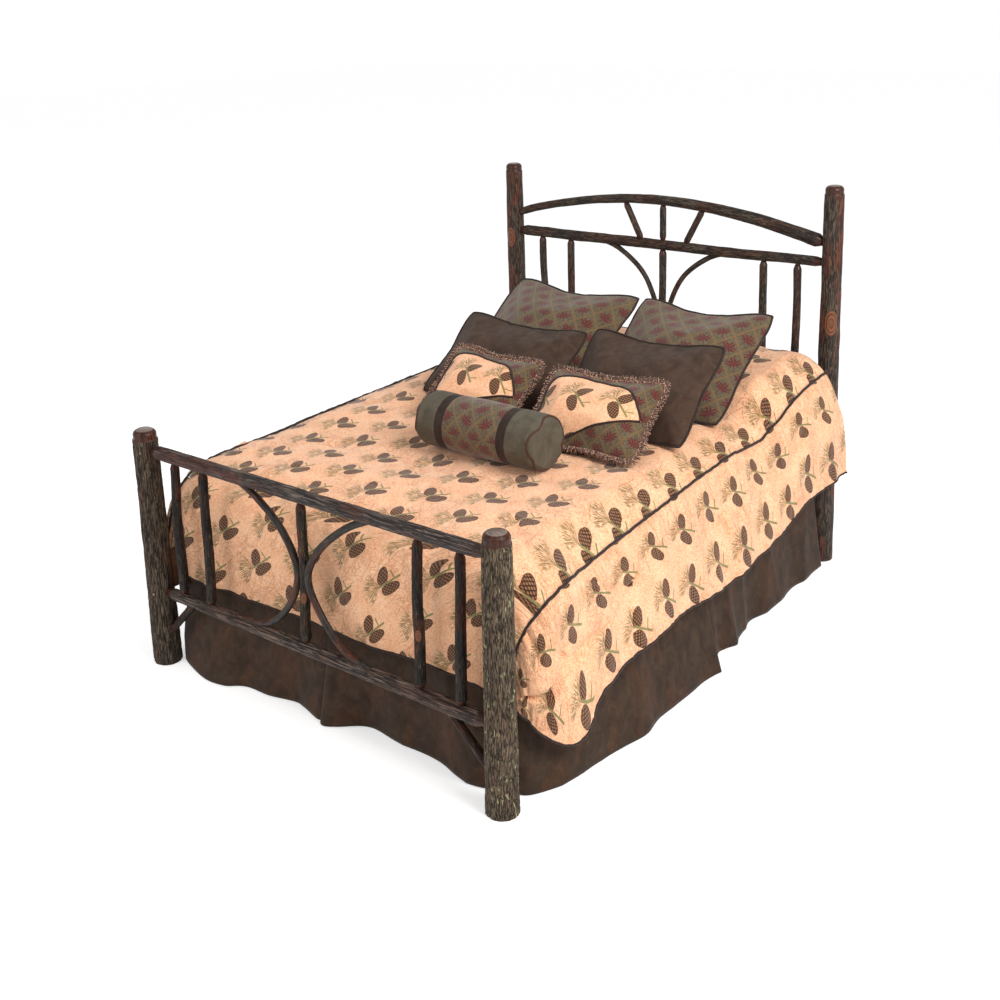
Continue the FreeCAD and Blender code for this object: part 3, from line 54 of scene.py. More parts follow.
def lump(points, size, seed=0):
    """Smooth random lumps from -1 to 1 over points; size is how far apart they are, in metres."""
    place = np.asarray(points, float) / np.asarray(size, float)
    cell = np.floor(place).astype(np.int64)
    part = place - cell
    part = part ** 3 * (part * (part * 6 - 15) + 10)
    total = np.zeros(len(place))
    for corner in np.ndindex(2, 2, 2):
        spot = (cell + corner) * np.array([73856093, 19349663, 83492791])
        mixed = (spot[:, 0] ^ spot[:, 1] ^ spot[:, 2] ^ (seed * 668265263)) & 0xFFFFFFFF
        mixed = ((mixed ^ (mixed >> 13)) * 1274126177) & 0xFFFFFFFF
        mixed = ((mixed ^ (mixed >> 15)) * 2246822519) & 0xFFFFFFFF
        value = (mixed ^ (mixed >> 16)) / 2147483648 - 1
        weight = np.where(corner, part, 1 - part).prod(axis=1)
        total += value * weight
    return total


def ease(value, low, high):
    """0 below low, 1 above high, and smooth between."""
    share = np.clip((value - low) / (high - low), 0, 1)
    return share * share * (3 - 2 * share)


def unit(vectors):
    return vectors / np.maximum(np.linalg.norm(vectors, axis=-1, keepdims=True), 1e-12)


def soften(values, reach):
    """Values along a line, evened out over a number of neighbours, with the ends kept."""
    weights = np.hanning(2 * reach + 3)[1:-1]
    weights /= weights.sum()
    ends = [values[:1]] * reach + [values] + [values[-1:]] * reach
    padded = np.concatenate(ends)
    if padded.ndim == 1:
        return np.convolve(padded, weights, "valid")
    return np.stack([np.convolve(column, weights, "valid") for column in padded.T], axis=1)


# Helpers for meshes

def into_scene(name, data):
    """A new object in the scene for a mesh, a lamp or a camera."""
    piece = bpy.data.objects.new(name, data)
    bpy.context.scene.collection.objects.link(piece)
    return piece


def grid(name, across, along, place, seam=False, map_size=None, layers=None):
    """A flat grid of cells, bent: place turns two shares, across and along, into points."""
    maker = bmesh.new()
    bmesh.ops.create_grid(maker, x_segments=across, y_segments=along, size=1)
    mesh = bpy.data.meshes.new(name)
    maker.to_mesh(mesh)
    flat = np.empty(len(mesh.vertices) * 3)
    mesh.vertices.foreach_get("co", flat)
    shares = (flat.reshape(-1, 3)[:, :2] + 1) / 2
    points = place(shares[:, 0], shares[:, 1])
    mesh.vertices.foreach_set("co", np.ascontiguousarray(points, float).ravel())
    if map_size is not None:
        spots = map_size(shares[:, 0], shares[:, 1]) if callable(map_size) else shares * map_size
        layer = mesh.uv_layers.new(name="cut")
        layer.data.foreach_set("uv", np.ascontiguousarray(spots[read_corners(mesh)], float).ravel())
    for title, values in (layers or {}).items():
        kind = "FLOAT" if values.ndim == 1 else "FLOAT_VECTOR"
        layer = mesh.attributes.new(title, kind, "POINT")
        layer.data.foreach_set("value" if values.ndim == 1 else "vector",
                               values.astype(np.float32).ravel())
    maker.clear()
    maker.from_mesh(mesh)
    if seam:
        bmesh.ops.remove_doubles(maker, verts=maker.verts, dist=1e-5)
    bmesh.ops.recalc_face_normals(maker, faces=maker.faces)
    for face in maker.faces:
        face.smooth = True
    maker.to_mesh(mesh)
    maker.free()
    return into_scene(name, mesh)


def read_points(mesh):
    spots = np.empty(len(mesh.vertices) * 3)
    mesh.vertices.foreach_get("co", spots)
    return spots.reshape(-1, 3)


def read_corners(mesh):
    """The point that each corner of each face stands on."""
    corners = np.empty(len(mesh.loops), np.int64)
    mesh.loops.foreach_get("vertex_index", corners)
    return corners


def write_points(mesh, points):
    mesh.vertices.foreach_set("co", np.ascontiguousarray(points, float).ravel())
    mesh.update()


def thicken(piece, title, thickness, offset=0):
    """Gives a sheet its thickness: offset -1 lays it all under the sheet, 0 half on each side."""
    thick = piece.modifiers.new(title, "SOLIDIFY")
    thick.thickness = thickness
    thick.offset = offset


def ready(piece, finish, stands_for=()):
    """Gives a piece its finish and hangs it on the frame."""
    piece.data.materials.clear()
    piece.data.materials.append(finish)
    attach(piece, "root")
    if stands_for:
        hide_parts(*([stands_for] if isinstance(stands_for, str) else stands_for))
    return piece


class Course:
    """A smooth line through points, with two directions across it that don't twist."""

    def __init__(self, points, steps=24):
        points = np.array(points, float)
        if len(points) > 2:
            ends = [2 * points[0] - points[1], *points, 2 * points[-1] - points[-2]]
            parts = []
            for before, start, end, after in zip(ends, ends[1:], ends[2:], ends[3:]):
                share = np.linspace(0, 1, steps, endpoint=False)[:, None]
                parts.append(0.5 * (
                    2 * start + (end - before) * share
                    + (2 * before - 5 * start + 4 * end - after) * share ** 2
                    + (3 * start - before - 3 * end + after) * share ** 3))
            points = np.concatenate(parts + [points[-1:]])
        self.points = points
        self.distance = np.concatenate([[0], np.cumsum(np.linalg.norm(np.diff(points, axis=0), axis=1))])
        self.length = self.distance[-1]
        heading = unit(np.gradient(points, axis=0))
        side = np.cross(heading[0], [0, 1, 0] if abs(heading[0][1]) < 0.9 else [1, 0, 0])
        sides = []
        for way in heading:
            side = side - way * (side @ way)
            side = side / np.linalg.norm(side)
            sides.append(side)
        self.side = np.array(sides)
        self.heading = heading

    def at(self, distance):
        """Point, side and other side at distances along the line."""
        def read(rows):
            return np.stack([np.interp(distance, self.distance, rows[:, i]) for i in range(3)], axis=1)
        side = unit(read(self.side))
        return read(self.points), side, np.cross(unit(read(self.heading)), side)


# Poles

def furrowed(grain, seed):
    """Interlaced ridges parted by narrow furrows, as on old hickory bark."""
    bent = grain + 0.006 * np.stack([lump(grain, (0.02, 0.02, 0.05), seed + k) for k in range(3)], axis=1)
    wide = np.abs(lump(bent, (0.0085, 0.0085, 0.042), seed + 5))
    fine = np.abs(lump(bent, (0.005, 0.005, 0.02), seed + 6))
    return np.clip(wide / 0.34, 0, 1) ** 0.7 * 0.75 + np.clip(fine / 0.4, 0, 1) * 0.25


def ropy(grain, seed):
    """Long ridges that run with the pole."""
    wide = np.abs(lump(grain, (0.0075, 0.0075, 0.09), seed + 5))
    fine = lump(grain, (0.004, 0.004, 0.03), seed + 6)
    return np.clip(np.clip(wide / 0.4, 0, 1) ** 0.8 * 0.8 + 0.2 * fine, 0, 1)


def tight(grain, seed):
    """Thin bark with slight waves and a few scars."""
    wave = lump(grain, (0.022, 0.022, 0.06), seed + 5)
    fine = lump(grain, (0.006, 0.006, 0.022), seed + 6)
    return np.clip(0.55 + 0.3 * wave + 0.2 * fine, 0, 1)


def pole(name, course, stations, bark, depth, finish, slot, around=40, step=0.008, seed=0,
         sway=0.0, knots=(), worn=(), node=None):
    """A log: stations are (distance, radius) rows, worn are (distance, share) rows of bare wood."""
    line = course if isinstance(course, Course) else Course(course)
    stations = np.array(stations, float)
    stations[:, 0] = np.where(stations[:, 0] < 0, line.length + stations[:, 0] + 1e-9, stations[:, 0])
    rows = np.unique(np.round(np.concatenate([
        np.linspace(0, line.length, max(2, int(line.length / step))), stations[:, 0]]), 6))
    sequence = np.arange(len(stations))
    order = np.lexsort((sequence, stations[:, 0]))
    stations = stations[order]
    closed = [0] + list(range(len(rows))) + [len(rows) - 1]
    rows = rows[closed]
    radius = np.interp(rows, stations[:, 0], stations[:, 1])
    radius[0] = radius[-1] = 0
    worn = np.array(worn or ((0, 0), (1, 0)), float)
    worn[:, 0] = np.where(worn[:, 0] < 0, line.length + worn[:, 0], worn[:, 0])
    mean = float(np.median(radius))
    layers = {}

    def place(across, along):
        index = np.round(along * (len(rows) - 1)).astype(int)
        angle = across * 2 * math.pi
        distance = rows[index]
        girth = radius[index]
        grain = np.stack([np.cos(angle) * mean, np.sin(angle) * mean, distance + seed * 3.7], axis=1)
        relief = bark(grain, seed)
        bare = np.interp(distance, worn[:, 0], worn[:, 1])
        keep = np.clip(girth / mean * 1.6 - 0.6, 0, 1) * np.clip(1 - bare, 0, 1)
        girth = girth + depth * (relief - 0.75) * keep
        girth = girth * (1 + 0.035 * lump(grain, (mean * 2, mean * 2, 0.11), seed + 9) * keep)
        knot_mark = np.zeros(len(girth))
        for knot_distance, knot_angle, size, height in knots:
            turn = (angle - math.radians(knot_angle) + math.pi) % (2 * math.pi) - math.pi
            away = np.hypot((distance - knot_distance) / 1.7, turn * mean * 1.2) / size
            girth = girth + height * np.exp(-away ** 2 * 1.6) - height * 0.7 * np.exp(-(away / 0.28) ** 2)
            knot_mark = np.maximum(knot_mark, np.clip(1.25 - away, 0, 1))
        centre, side, other = line.at(distance)
        drift = sway * np.sin(math.pi * distance / line.length)
        wander = np.stack([lump(np.stack([distance + seed, distance * 0, distance * 0 + k], axis=1),
                                (0.28, 1, 1), seed + 20 + k) for k in range(2)], axis=1) * drift[:, None]
        layers["grain"] = grain
        layers["relief"] = relief
        layers["bare"] = bare
        layers["knot"] = knot_mark
        return (centre + side * (np.cos(angle) * girth + wander[:, 0])[:, None]
                + other * (np.sin(angle) * girth + wander[:, 1])[:, None])

    piece = grid(name, around, len(rows) - 1, place, seam=True, layers=layers)
    return ready(piece, finish, node or ())


# Finishes

class Finish:
    """A finish being mixed from shader nodes. Inputs are numbers, colours or outputs of other nodes."""

    def __init__(self, name):
        self.material = bpy.data.materials.new(name)
        self.material.use_nodes = True
        self.tree = self.material.node_tree
        self.shader = self.tree.nodes["Principled BSDF"]

    def put(self, socket, value):
        if isinstance(value, bpy.types.NodeSocket):
            self.tree.links.new(value, socket)
        else:
            socket.default_value = value

    def node(self, kind, values=(), **settings):
        node = self.tree.nodes.new(f"ShaderNode{kind}")
        for key, value in settings.items():
            setattr(node, key, value)
        pairs = values.items() if isinstance(values, dict) else enumerate(values)
        for key, value in pairs:
            self.put(node.inputs[key], value)
        return node

    def maths(self, operation, *values, clamp=False):
        return self.node("Math", values, operation=operation, use_clamp=clamp).outputs[0]

    def times(self, first, second):
        return self.maths("MULTIPLY", first, second)

    def plus(self, first, second):
        return self.maths("ADD", first, second)

    def minus(self, first, second):
        return self.maths("SUBTRACT", first, second)

    def magnitude(self, value):
        return self.maths("ABSOLUTE", value)

    def span(self, value, low, high, out_low=0.0, out_high=1.0):
        """Smooth change of value from low to high."""
        return self.node("MapRange", (value, low, high, out_low, out_high),
                         interpolation_type="SMOOTHSTEP").outputs[0]

    def mix(self, share, first, second, blend="MIX"):
        node = self.tree.nodes.new("ShaderNodeMix")
        node.data_type = "RGBA"
        node.blend_type = blend
        node.clamp_factor = True
        self.put(node.inputs[0], share)
        self.put(node.inputs[6], first)
        self.put(node.inputs[7], second)
        return node.outputs[2]

    def ramp(self, value, *stops):
        """Colours along a value: stops are (place, colour)."""
        node = self.tree.nodes.new("ShaderNodeValToRGB")
        self.put(node.inputs[0], value)
        band = node.color_ramp.elements
        while len(band) < len(stops):
            band.new(0.5)
        for element, (place, colour) in zip(band, stops):
            element.position = place
            element.color = colour
        return node.outputs[0]

    def read(self, title, vector=False):
        node = self.node("Attribute", attribute_name=title)
        return node.outputs["Vector" if vector else "Fac"]

    def on_cloth(self):
        """Flat cloth coordinates in metres, from the piece's own map."""
        return self.node("UVMap", uv_map="cut").outputs[0]

    def in_piece(self):
        """Coordinates in metres, through the whole of a piece."""
        return self.node("TexCoord").outputs["Object"]

    def stretched(self, vector, scale, shift=(0, 0, 0)):
        return self.node("Mapping", {"Vector": vector, "Scale": scale, "Location": shift}).outputs[0]

    def speckle(self, vector, scale, detail=3.0, rough=0.55, bend=0.0):
        return self.node("TexNoise", {"Vector": vector, "Scale": scale, "Detail": detail,
                                      "Roughness": rough, "Distortion": bend}).outputs[0]

    def parts(self, vector):
        node = self.node("SeparateXYZ", (vector,))
        return node.outputs[0], node.outputs[1], node.outputs[2]

    def finish(self, colour, rough, height=None, bump=0.5, depth=0.002, **fixed):
        """Joins it up. Named fixed values go on the shader's own sockets."""
        self.put(self.shader.inputs["Base Color"], colour)
        self.put(self.shader.inputs["Roughness"], rough)
        if height is not None:
            bumped = self.node("Bump", {"Height": height, "Strength": bump, "Distance": depth})
            self.put(self.shader.inputs["Normal"], bumped.outputs[0])
        for key, value in fixed.items():
            self.shader.inputs[key.replace("_", " ")].default_value = value
        return self.material


def bark_finish(name, furrow, body, crest, lichen=0.0, lichen_colour=(178, 176, 146), patches=0.3,
                patch_colour=(92, 52, 38), rough=0.78, shine=0.35, bump=0.6, ridge=130, long=0.12):
    """Bark with dark furrows and pale crests, lichen, reddish patches and bare wood at its ends."""
    f = Finish(name)
    grain = f.read("grain", vector=True)
    relief = f.read("relief")
    bare = f.read("bare")
    knot = f.read("knot")
    along = f.stretched(grain, (1, 1, long))
    ridges = f.magnitude(f.minus(f.speckle(along, ridge, 2, 0.5, 0.5), 0.5))
    ridges = f.span(ridges, 0.0, 0.11)
    fibre = f.speckle(f.stretched(grain, (1, 1, long * 0.8)), ridge * 2.6, 3, 0.6, 0.3)
    crumbs = f.speckle(f.stretched(grain, (1, 1, 0.4)), 330, 4, 0.7, 0.4)
    tone = f.speckle(f.stretched(grain, (1, 1, 0.35)), 16, 3, 0.5)
    height = f.plus(f.times(relief, 0.18),
                    f.plus(f.times(ridges, 0.30), f.plus(f.times(fibre, 0.30), f.times(crumbs, 0.24))))
    shade = f.span(height, 0.36, 0.82)
    colour = f.ramp(shade, (0.0, paint(*furrow)), (0.55, paint(*body)), (1.0, paint(*crest)))
    reddish = f.mix(shade, paint(*[c * 0.45 for c in patch_colour]), paint(*patch_colour))
    colour = f.mix(f.times(f.span(tone, 0.47, 0.62), patches), colour, reddish)
    if lichen:
        blotch = f.speckle(f.stretched(grain, (1, 1, 0.55), shift=(3, 1, 2)), 22, 3, 0.6)
        blotch = f.span(blotch, 0.47, 0.60)
        fleck = f.speckle(f.stretched(grain, (1, 1, 0.30), shift=(1, 5, 2)), 170, 2, 0.6, 0.5)
        fleck = f.span(fleck, 0.56, 0.62)
        cover = f.times(f.times(blotch, fleck), f.span(shade, 0.2, 0.5, 0.0, lichen))
        hue = f.mix(f.speckle(grain, 30, 1), paint(*lichen_colour),
                    paint(*[c * k for c, k in zip(lichen_colour, (0.72, 0.78, 0.68))]))
        colour = f.mix(cover, colour, hue)
    knot_ring = f.maths("SINE", f.times(knot, 19.0))
    knot_wood = f.ramp(f.maths("MULTIPLY_ADD", knot_ring, 0.5, 0.5), (0.0, paint(88, 50, 32)),
                       (1.0, paint(132, 82, 54)))
    knot_wood = f.mix(f.span(knot, 0.98, 1.1), knot_wood, paint(34, 24, 20))
    colour = f.mix(f.span(knot, 0.25, 0.45), colour, knot_wood)
    streak = f.speckle(f.stretched(grain, (1, 1, 0.05)), 150, 4, 0.6, 0.4)
    wood = f.ramp(streak, (0.3, paint(34, 19, 14)), (0.5, paint(62, 34, 24)), (0.72, paint(98, 60, 44)))
    colour = f.mix(bare, colour, wood)
    sawn = f.span(bare, 1.15, 1.5)
    weathered = f.ramp(f.speckle(f.stretched(grain, (1, 1, 0.4)), 60, 5, 0.65, 0.8),
                       (0.3, paint(92, 72, 64)), (0.55, paint(126, 110, 102)),
                       (0.75, paint(152, 140, 132)))
    colour = f.mix(sawn, colour, weathered)
    glossy = f.maths("MAXIMUM", bare, f.span(knot, 0.25, 0.6))
    rough_now = f.maths("MULTIPLY_ADD", glossy, 0.30 - rough, rough)
    rough_now = f.maths("ADD", rough_now, f.maths("MULTIPLY_ADD", crumbs, 0.24, -0.12), clamp=True)
    worn_height = f.times(height, f.maths("MULTIPLY_ADD", glossy, -0.85, 1.0))
    return f.finish(colour, rough_now, worn_height, bump, 0.003, Specular_IOR_Level=shine)


def plain_wood_finish(name, heart, rim):
    """Turned or planed wood with a cloudy figure."""
    f = Finish(name)
    place = f.in_piece()
    cloud = f.speckle(place, 60, 4, 0.6, 0.6)
    grit = f.speckle(place, 420, 4, 0.7)
    shade = f.maths("MULTIPLY_ADD", grit, 0.5, f.times(cloud, 0.6))
    colour = f.ramp(shade, (0.3, paint(*rim)), (0.75, paint(*heart)))
    return f.finish(colour, 0.42, shade, 0.3, 0.001, Specular_IOR_Level=0.5)


post_bark = bark_finish("furrowed_bark", (34, 27, 22), (72, 60, 49), (120, 104, 84), lichen=0.95,
                        lichen_colour=(196, 188, 148), patches=0.15, shine=0.2, ridge=250, long=0.09)
post_bark_dark = bark_finish("dark_furrowed_bark", (26, 20, 16), (56, 45, 37), (104, 90, 74), lichen=0.4,
                             lichen_colour=(150, 138, 116), patches=0.25, shine=0.2, ridge=230, long=0.05)
rail_bark = bark_finish("ropy_bark", (20, 15, 13), (54, 43, 38), (118, 104, 96), lichen=0.1, patches=0.85,
                        patch_colour=(90, 44, 30), rough=0.6, shine=0.35, ridge=230, long=0.04)
low_rail_bark = bark_finish("rough_rail_bark", (22, 17, 15), (64, 51, 44), (134, 116, 102), lichen=0.2,
                            patches=0.4, rough=0.68, shine=0.3, ridge=260, long=0.03)
pole_bark = bark_finish("tight_bark", (16, 13, 11), (38, 30, 25), (60, 50, 42), lichen=0.12, patches=0.8,
                        patch_colour=(84, 42, 28), rough=0.6, shine=0.18, bump=0.35)
centre_pole_bark = bark_finish("lichened_tight_bark", (18, 15, 12), (44, 37, 29),
                               (68, 58, 45), lichen=0.8, lichen_colour=(104, 108, 76), patches=0.9,
                               patch_colour=(98, 50, 34), rough=0.6, shine=0.18, bump=0.35)
hoop_bark = bark_finish("hoop_bark", (17, 14, 12), (40, 33, 28), (66, 57, 50), lichen=0.2,
                        lichen_colour=(98, 100, 84), patches=0.8, patch_colour=(98, 48, 28), rough=0.5,
                        shine=0.3, bump=0.3)
head_post_bark = bark_finish("smooth_post_bark", (30, 23, 19), (64, 51, 42), (98, 82, 68), lichen=0.4,
                             lichen_colour=(132, 122, 96), patches=0.95, patch_colour=(108, 58, 40),
                             rough=0.66, shine=0.3, bump=0.35)
head_bark = bark_finish("headboard_bark", (26, 20, 17), (54, 44, 36), (88, 76, 62), lichen=0.5,
                        lichen_colour=(130, 118, 90), patches=0.55, patch_colour=(92, 50, 34), rough=0.66,
                        shine=0.3, bump=0.5)
oak_finish = plain_wood_finish("turned_oak", (176, 138, 96), (120, 84, 54))


# The frame of poles

FOOT_Y, HEAD_Y = -1.125, 1.125
POSTS = {
    "foot_post_left": ((-0.825, FOOT_Y), (-0.798, FOOT_Y), 0.054, 0.045, 0.947),
    "foot_post_right": ((0.825, FOOT_Y), (0.842, FOOT_Y), 0.054, 0.045, 0.947),
    "head_post_left": ((-0.825, HEAD_Y), (-0.823, HEAD_Y), 0.048, 0.040, 1.628),
    "head_post_right": ((0.825, HEAD_Y), (0.810, HEAD_Y), 0.048, 0.040, 1.628),
}


def post_axis(name, height):
    (x0, y0), (x1, y1), _, _, top = POSTS[name]
    share = height / top
    return (x0 + (x1 - x0) * share, y0 + (y1 - y0) * share, height)


def post(name, bark, depth, finish, seed, knots=()):
    """A log post with a pared crest; knots are (height, angle, size, rise)."""
    base, crest, low, high, top = POSTS[name]
    ring = top - 0.037
    stations = [(0, low - 0.003), (0.004, low), (ring, high), (ring + 0.003, high - 0.003),
                (top - 0.016, high - 0.0028), (top - 0.009, high - 0.0055), (top - 0.004, high - 0.0105),
                (top - 0.001, high - 0.0155), (top, high - 0.020)]
    worn = [(0, 0), (ring - 0.004, 0), (ring + 0.002, 1), (top - 0.002, 1), (top, 2)]
    return pole(name + "_log", [(*base, 0), (*crest, top)],
                stations, bark, depth, finish, "ridged_bark_log", around=96 if bark is furrowed else 80,
                step=0.0045 if bark is furrowed else 0.007, seed=seed, worn=worn, knots=knots, node=name)


post("foot_post_left", furrowed, 0.0032, post_bark_dark, 3)
post("foot_post_right", furrowed, 0.0036, post_bark, 11)
post("head_post_left", tight, 0.003, head_post_bark, 5,
     knots=[(1.278, 92, 0.030, 0.006), (1.02, 250, 0.026, 0.005)])
post("head_post_right", tight, 0.003, head_post_bark, 8,
     knots=[(1.069, 122, 0.034, 0.007), (0.72, 300, 0.026, 0.005)])


def tenoned(length, start_clear, end_clear, tenon, point, first, last, middle=None):
    """Stations of a pole whose ends are pared to a point and go into other logs by a round tenon."""
    rows = [(0, tenon), (start_clear + 0.001, tenon), (start_clear + 0.0015, tenon + 0.002),
            (start_clear + point * 0.6, tenon + (first - tenon) * 0.66), (start_clear + point, first)]
    if middle:
        rows.append((length / 2, middle))
    rows += [(length - end_clear - point, last),
             (length - end_clear - point * 0.6, tenon + (last - tenon) * 0.66),
             (length - end_clear - 0.0015, tenon + 0.002), (length - end_clear - 0.001, tenon),
             (length, tenon)]
    bare = [(0, 1), (start_clear + point * 0.85, 1), (start_clear + point * 1.15, 0),
            (length - end_clear - point * 1.15, 0), (length - end_clear - point * 0.85, 1), (length, 1)]
    return rows, bare


def fitted(name, points, first, last, clear, tenon, point, bark, depth, finish, slot, middle=None,
           **more):
    """A pole through points whose tenoned ends go into other logs; clear is how deep each end sits."""
    line = Course(points)
    stations, bare = tenoned(line.length, *clear, tenon, point, first, last, middle)
    return pole(name + "_log", line, stations, bark, depth, finish, slot, worn=bare, node=name, **more)


RIDGED, SMOOTH = "ridged_bark_log", "smooth_bark_pole"
RAIL = dict(tenon=0.014, point=0.030)
STICK = dict(tenon=0.0095, point=0.017)


def rail(name, posts, height, first, last, bark, depth, finish, **more):
    """A level rail between two posts."""
    ends = [post_axis(posts[0], height), post_axis(posts[1], height)]
    _, _, at_floor, at_crest, top = POSTS[posts[0]]
    inset = [at_floor + (at_crest - at_floor) * height / top] * 2
    return fitted(name, ends, first, last, inset, bark=bark, depth=depth, finish=finish, slot=RIDGED,
                  **RAIL, **more)


FOOT_POSTS = ("foot_post_left", "foot_post_right")
HEAD_POSTS = ("head_post_left", "head_post_right")
rail("foot_top_rail", FOOT_POSTS, 0.868, 0.026, 0.023, ropy, 0.0028, rail_bark, around=72, step=0.0055,
     seed=21)
rail("foot_bottom_rail", FOOT_POSTS, 0.301, 0.022, 0.027, ropy, 0.0032, low_rail_bark, around=72,
     step=0.0055, seed=25)
rail("head_middle_rail", HEAD_POSTS, 1.311, 0.025, 0.0215, tight, 0.003, head_bark, around=56, step=0.007,
     seed=31, sway=0.004)
rail("head_lower_rail", HEAD_POSTS, 0.560, 0.025, 0.025, tight, 0.003, head_bark, around=48, step=0.01,
     seed=33)

SPINDLES = (
    ("foot_spindle_outer_left", -0.670, -0.640, pole_bark),
    ("foot_spindle_inner_left", -0.516, -0.483, pole_bark),
    ("foot_spindle_centre", -0.015, 0.015, centre_pole_bark),
    ("foot_spindle_inner_right", 0.505, 0.531, pole_bark),
    ("foot_spindle_outer_right", 0.676, 0.699, pole_bark),
)
for index, (name, low, high, finish) in enumerate(SPINDLES):
    fitted(name, [(low, FOOT_Y, 0.301), (high, FOOT_Y, 0.868)], 0.019, 0.017, (0.024, 0.0245), bark=tight,
           depth=0.002, finish=finish, slot=SMOOTH, around=48, step=0.006, seed=40 + index, sway=0.005,
           knots=[(0.16 + 0.02 * index, 120, 0.013, 0.003)] if index in (2, 3) else (), **STICK)
for index, across in enumerate((-0.660, -0.495, 0.008, 0.505, 0.661)):
    name = "head_spindle_" + ("outer_left", "inner_left", "centre", "inner_right", "outer_right")[index]
    fitted(name, [(across, HEAD_Y, 0.560), (across, HEAD_Y, 1.311)], 0.017, 0.017, (0.024, 0.0225),
           bark=tight, depth=0.002, finish=head_bark, slot=SMOOTH, around=40, step=0.009,
           seed=50 + index, sway=0.006, **STICK)

ARCH = [(-0.826, HEAD_Y, 1.384), (-0.700, HEAD_Y, 1.424), (-0.511, HEAD_Y, 1.463),
        (-0.270, HEAD_Y, 1.497), (-0.033, HEAD_Y, 1.509), (0.220, HEAD_Y, 1.496),
        (0.462, HEAD_Y, 1.463), (0.660, HEAD_Y, 1.420), (0.814, HEAD_Y, 1.384)]
fitted("head_arch_rail", ARCH, 0.018, 0.029, (0.041, 0.041), bark=tight, depth=0.003, finish=head_bark,
       slot=SMOOTH, middle=0.022, around=56, step=0.007, seed=61, **RAIL)
# Rays of the arch: place across at the rail, place across at the arch, height there
RAYS = ((-0.097, -0.196, 1.502), (0.008, 0.008, 1.508), (0.115, 0.216, 1.496))
for index, (low, high, top) in enumerate(RAYS):
    fitted("arch_ray_" + ("left", "centre", "right")[index], [(low, HEAD_Y, 1.311), (high, HEAD_Y, top)],
           0.0145, 0.0145, (0.0225, 0.0215), bark=tight, depth=0.002, finish=head_bark, slot=SMOOTH,
           around=36, step=0.008, seed=70 + index, tenon=0.0095, point=0.013)

HOOPS = {
    "foot_hoop_left": [(-0.318, 0.868), (-0.200, 0.811), (-0.086, 0.715), (-0.029, 0.584),
                       (-0.086, 0.443), (-0.204, 0.341), (-0.337, 0.318)],
    "foot_hoop_right": [(0.350, 0.868), (0.216, 0.800), (0.086, 0.692), (0.019, 0.567), (0.083, 0.431),
                        (0.184, 0.341), (0.318, 0.312)],
}
for index, (name, points) in enumerate(HOOPS.items()):
    pole(name + "_log", [(x, FOOT_Y, z) for x, z in points],
         [(0, 0.0125), (0.3, 0.0135), (-0.05, 0.0125), (-0.0001, 0.0105)], tight, 0.0018, hoop_bark,
         SMOOTH, around=32, step=0.006, seed=80 + index, node=name)
BRANCHES = {
    "head_branch_left": [(-0.340, 1.313), (-0.222, 1.273), (-0.103, 1.183), (-0.037, 1.063),
                         (-0.006, 0.936)],
    "head_branch_right": [(0.356, 1.311), (0.238, 1.273), (0.119, 1.183), (0.053, 1.063), (0.022, 0.936)],
}
for index, (name, points) in enumerate(BRANCHES.items()):
    pole(name + "_log", [(x, HEAD_Y, z) for x, z in points],
         [(0, 0.011), (0.1, 0.012), (-0.03, 0.0115), (-0.0001, 0.010)], tight, 0.002, head_bark, SMOOTH,
         around=28, step=0.008, seed=90 + index, node=name)
for index, side in enumerate((-1, 1)):
    name = "foot_brace_" + ("left", "right")[index]
    foot = post_axis(FOOT_POSTS[index], 0.096)
    fitted(name, [foot, (side * 0.611, FOOT_Y, 0.301)], 0.015, 0.015, (0.052, 0.024), bark=tight,
           depth=0.0018, finish=pole_bark, slot=SMOOTH, around=32, step=0.007, seed=95 + index, **STICK)


# Cloth finishes

def moved(f, place, x, y, turn):
    """Coordinates along and across a small shape that starts at x, y and points turn degrees round."""
    centred = f.node("Mapping", {"Vector": place, "Location": (-x, -y, 0)}).outputs[0]
    along, across, _ = f.parts(
        f.node("Mapping", {"Vector": centred, "Rotation": (0, 0, -math.radians(turn))}).outputs[0])
    return along, across


def heather(f, place, base, light, dark):
    """Slubby cloth: crossed threads and soft clouds. Gives the colour and the height of the threads."""
    warp = f.speckle(f.stretched(place, (1, 0.16, 1)), 430, 3, 0.6, 0.2)
    weft = f.speckle(f.stretched(place, (0.16, 1, 1)), 430, 3, 0.6, 0.2)
    slub = f.speckle(place, 170, 4, 0.7, 0.3)
    cloud = f.speckle(place, 14, 3, 0.5)
    height = f.plus(f.times(f.plus(warp, weft), 0.34), f.times(slub, 0.32))
    shade = f.plus(height, f.maths("MULTIPLY_ADD", cloud, 0.14, -0.07))
    colour = f.ramp(shade, (0.40, paint(*dark)), (0.5, paint(*base)), (0.60, paint(*light)))
    return colour, height


def cone_shape(f, place, x, y, turn, length, width):
    """A fir cone lying along turn. Gives its cover, its rim and its scales."""
    along, across = moved(f, place, x, y, turn)
    share = f.maths("DIVIDE", along, length)
    middle = f.minus(share, 0.5)
    belly = f.maths("MULTIPLY_ADD", middle, -0.34, 1.0)
    wide = f.maths("DIVIDE", across, f.times(belly, width / 2))
    reach = f.maths("SQRT", f.plus(f.maths("POWER", f.magnitude(f.times(middle, 2)), 2.4),
                                   f.maths("POWER", f.magnitude(wide), 2.2)))
    first = f.times(f.plus(along, across), math.pi / SCALE_SPACING)
    second = f.times(f.minus(along, across), math.pi / SCALE_SPACING)
    waves = f.magnitude(f.times(f.maths("COSINE", first), f.maths("COSINE", second)))
    ragged = f.minus(reach, f.times(waves, 0.07))
    cover = f.span(ragged, 1.02, 0.95)
    rim = f.span(reach, 0.80, 0.96)
    return cover, rim, f.span(waves, 0.30, 0.62)


SCALE_SPACING = 0.0130
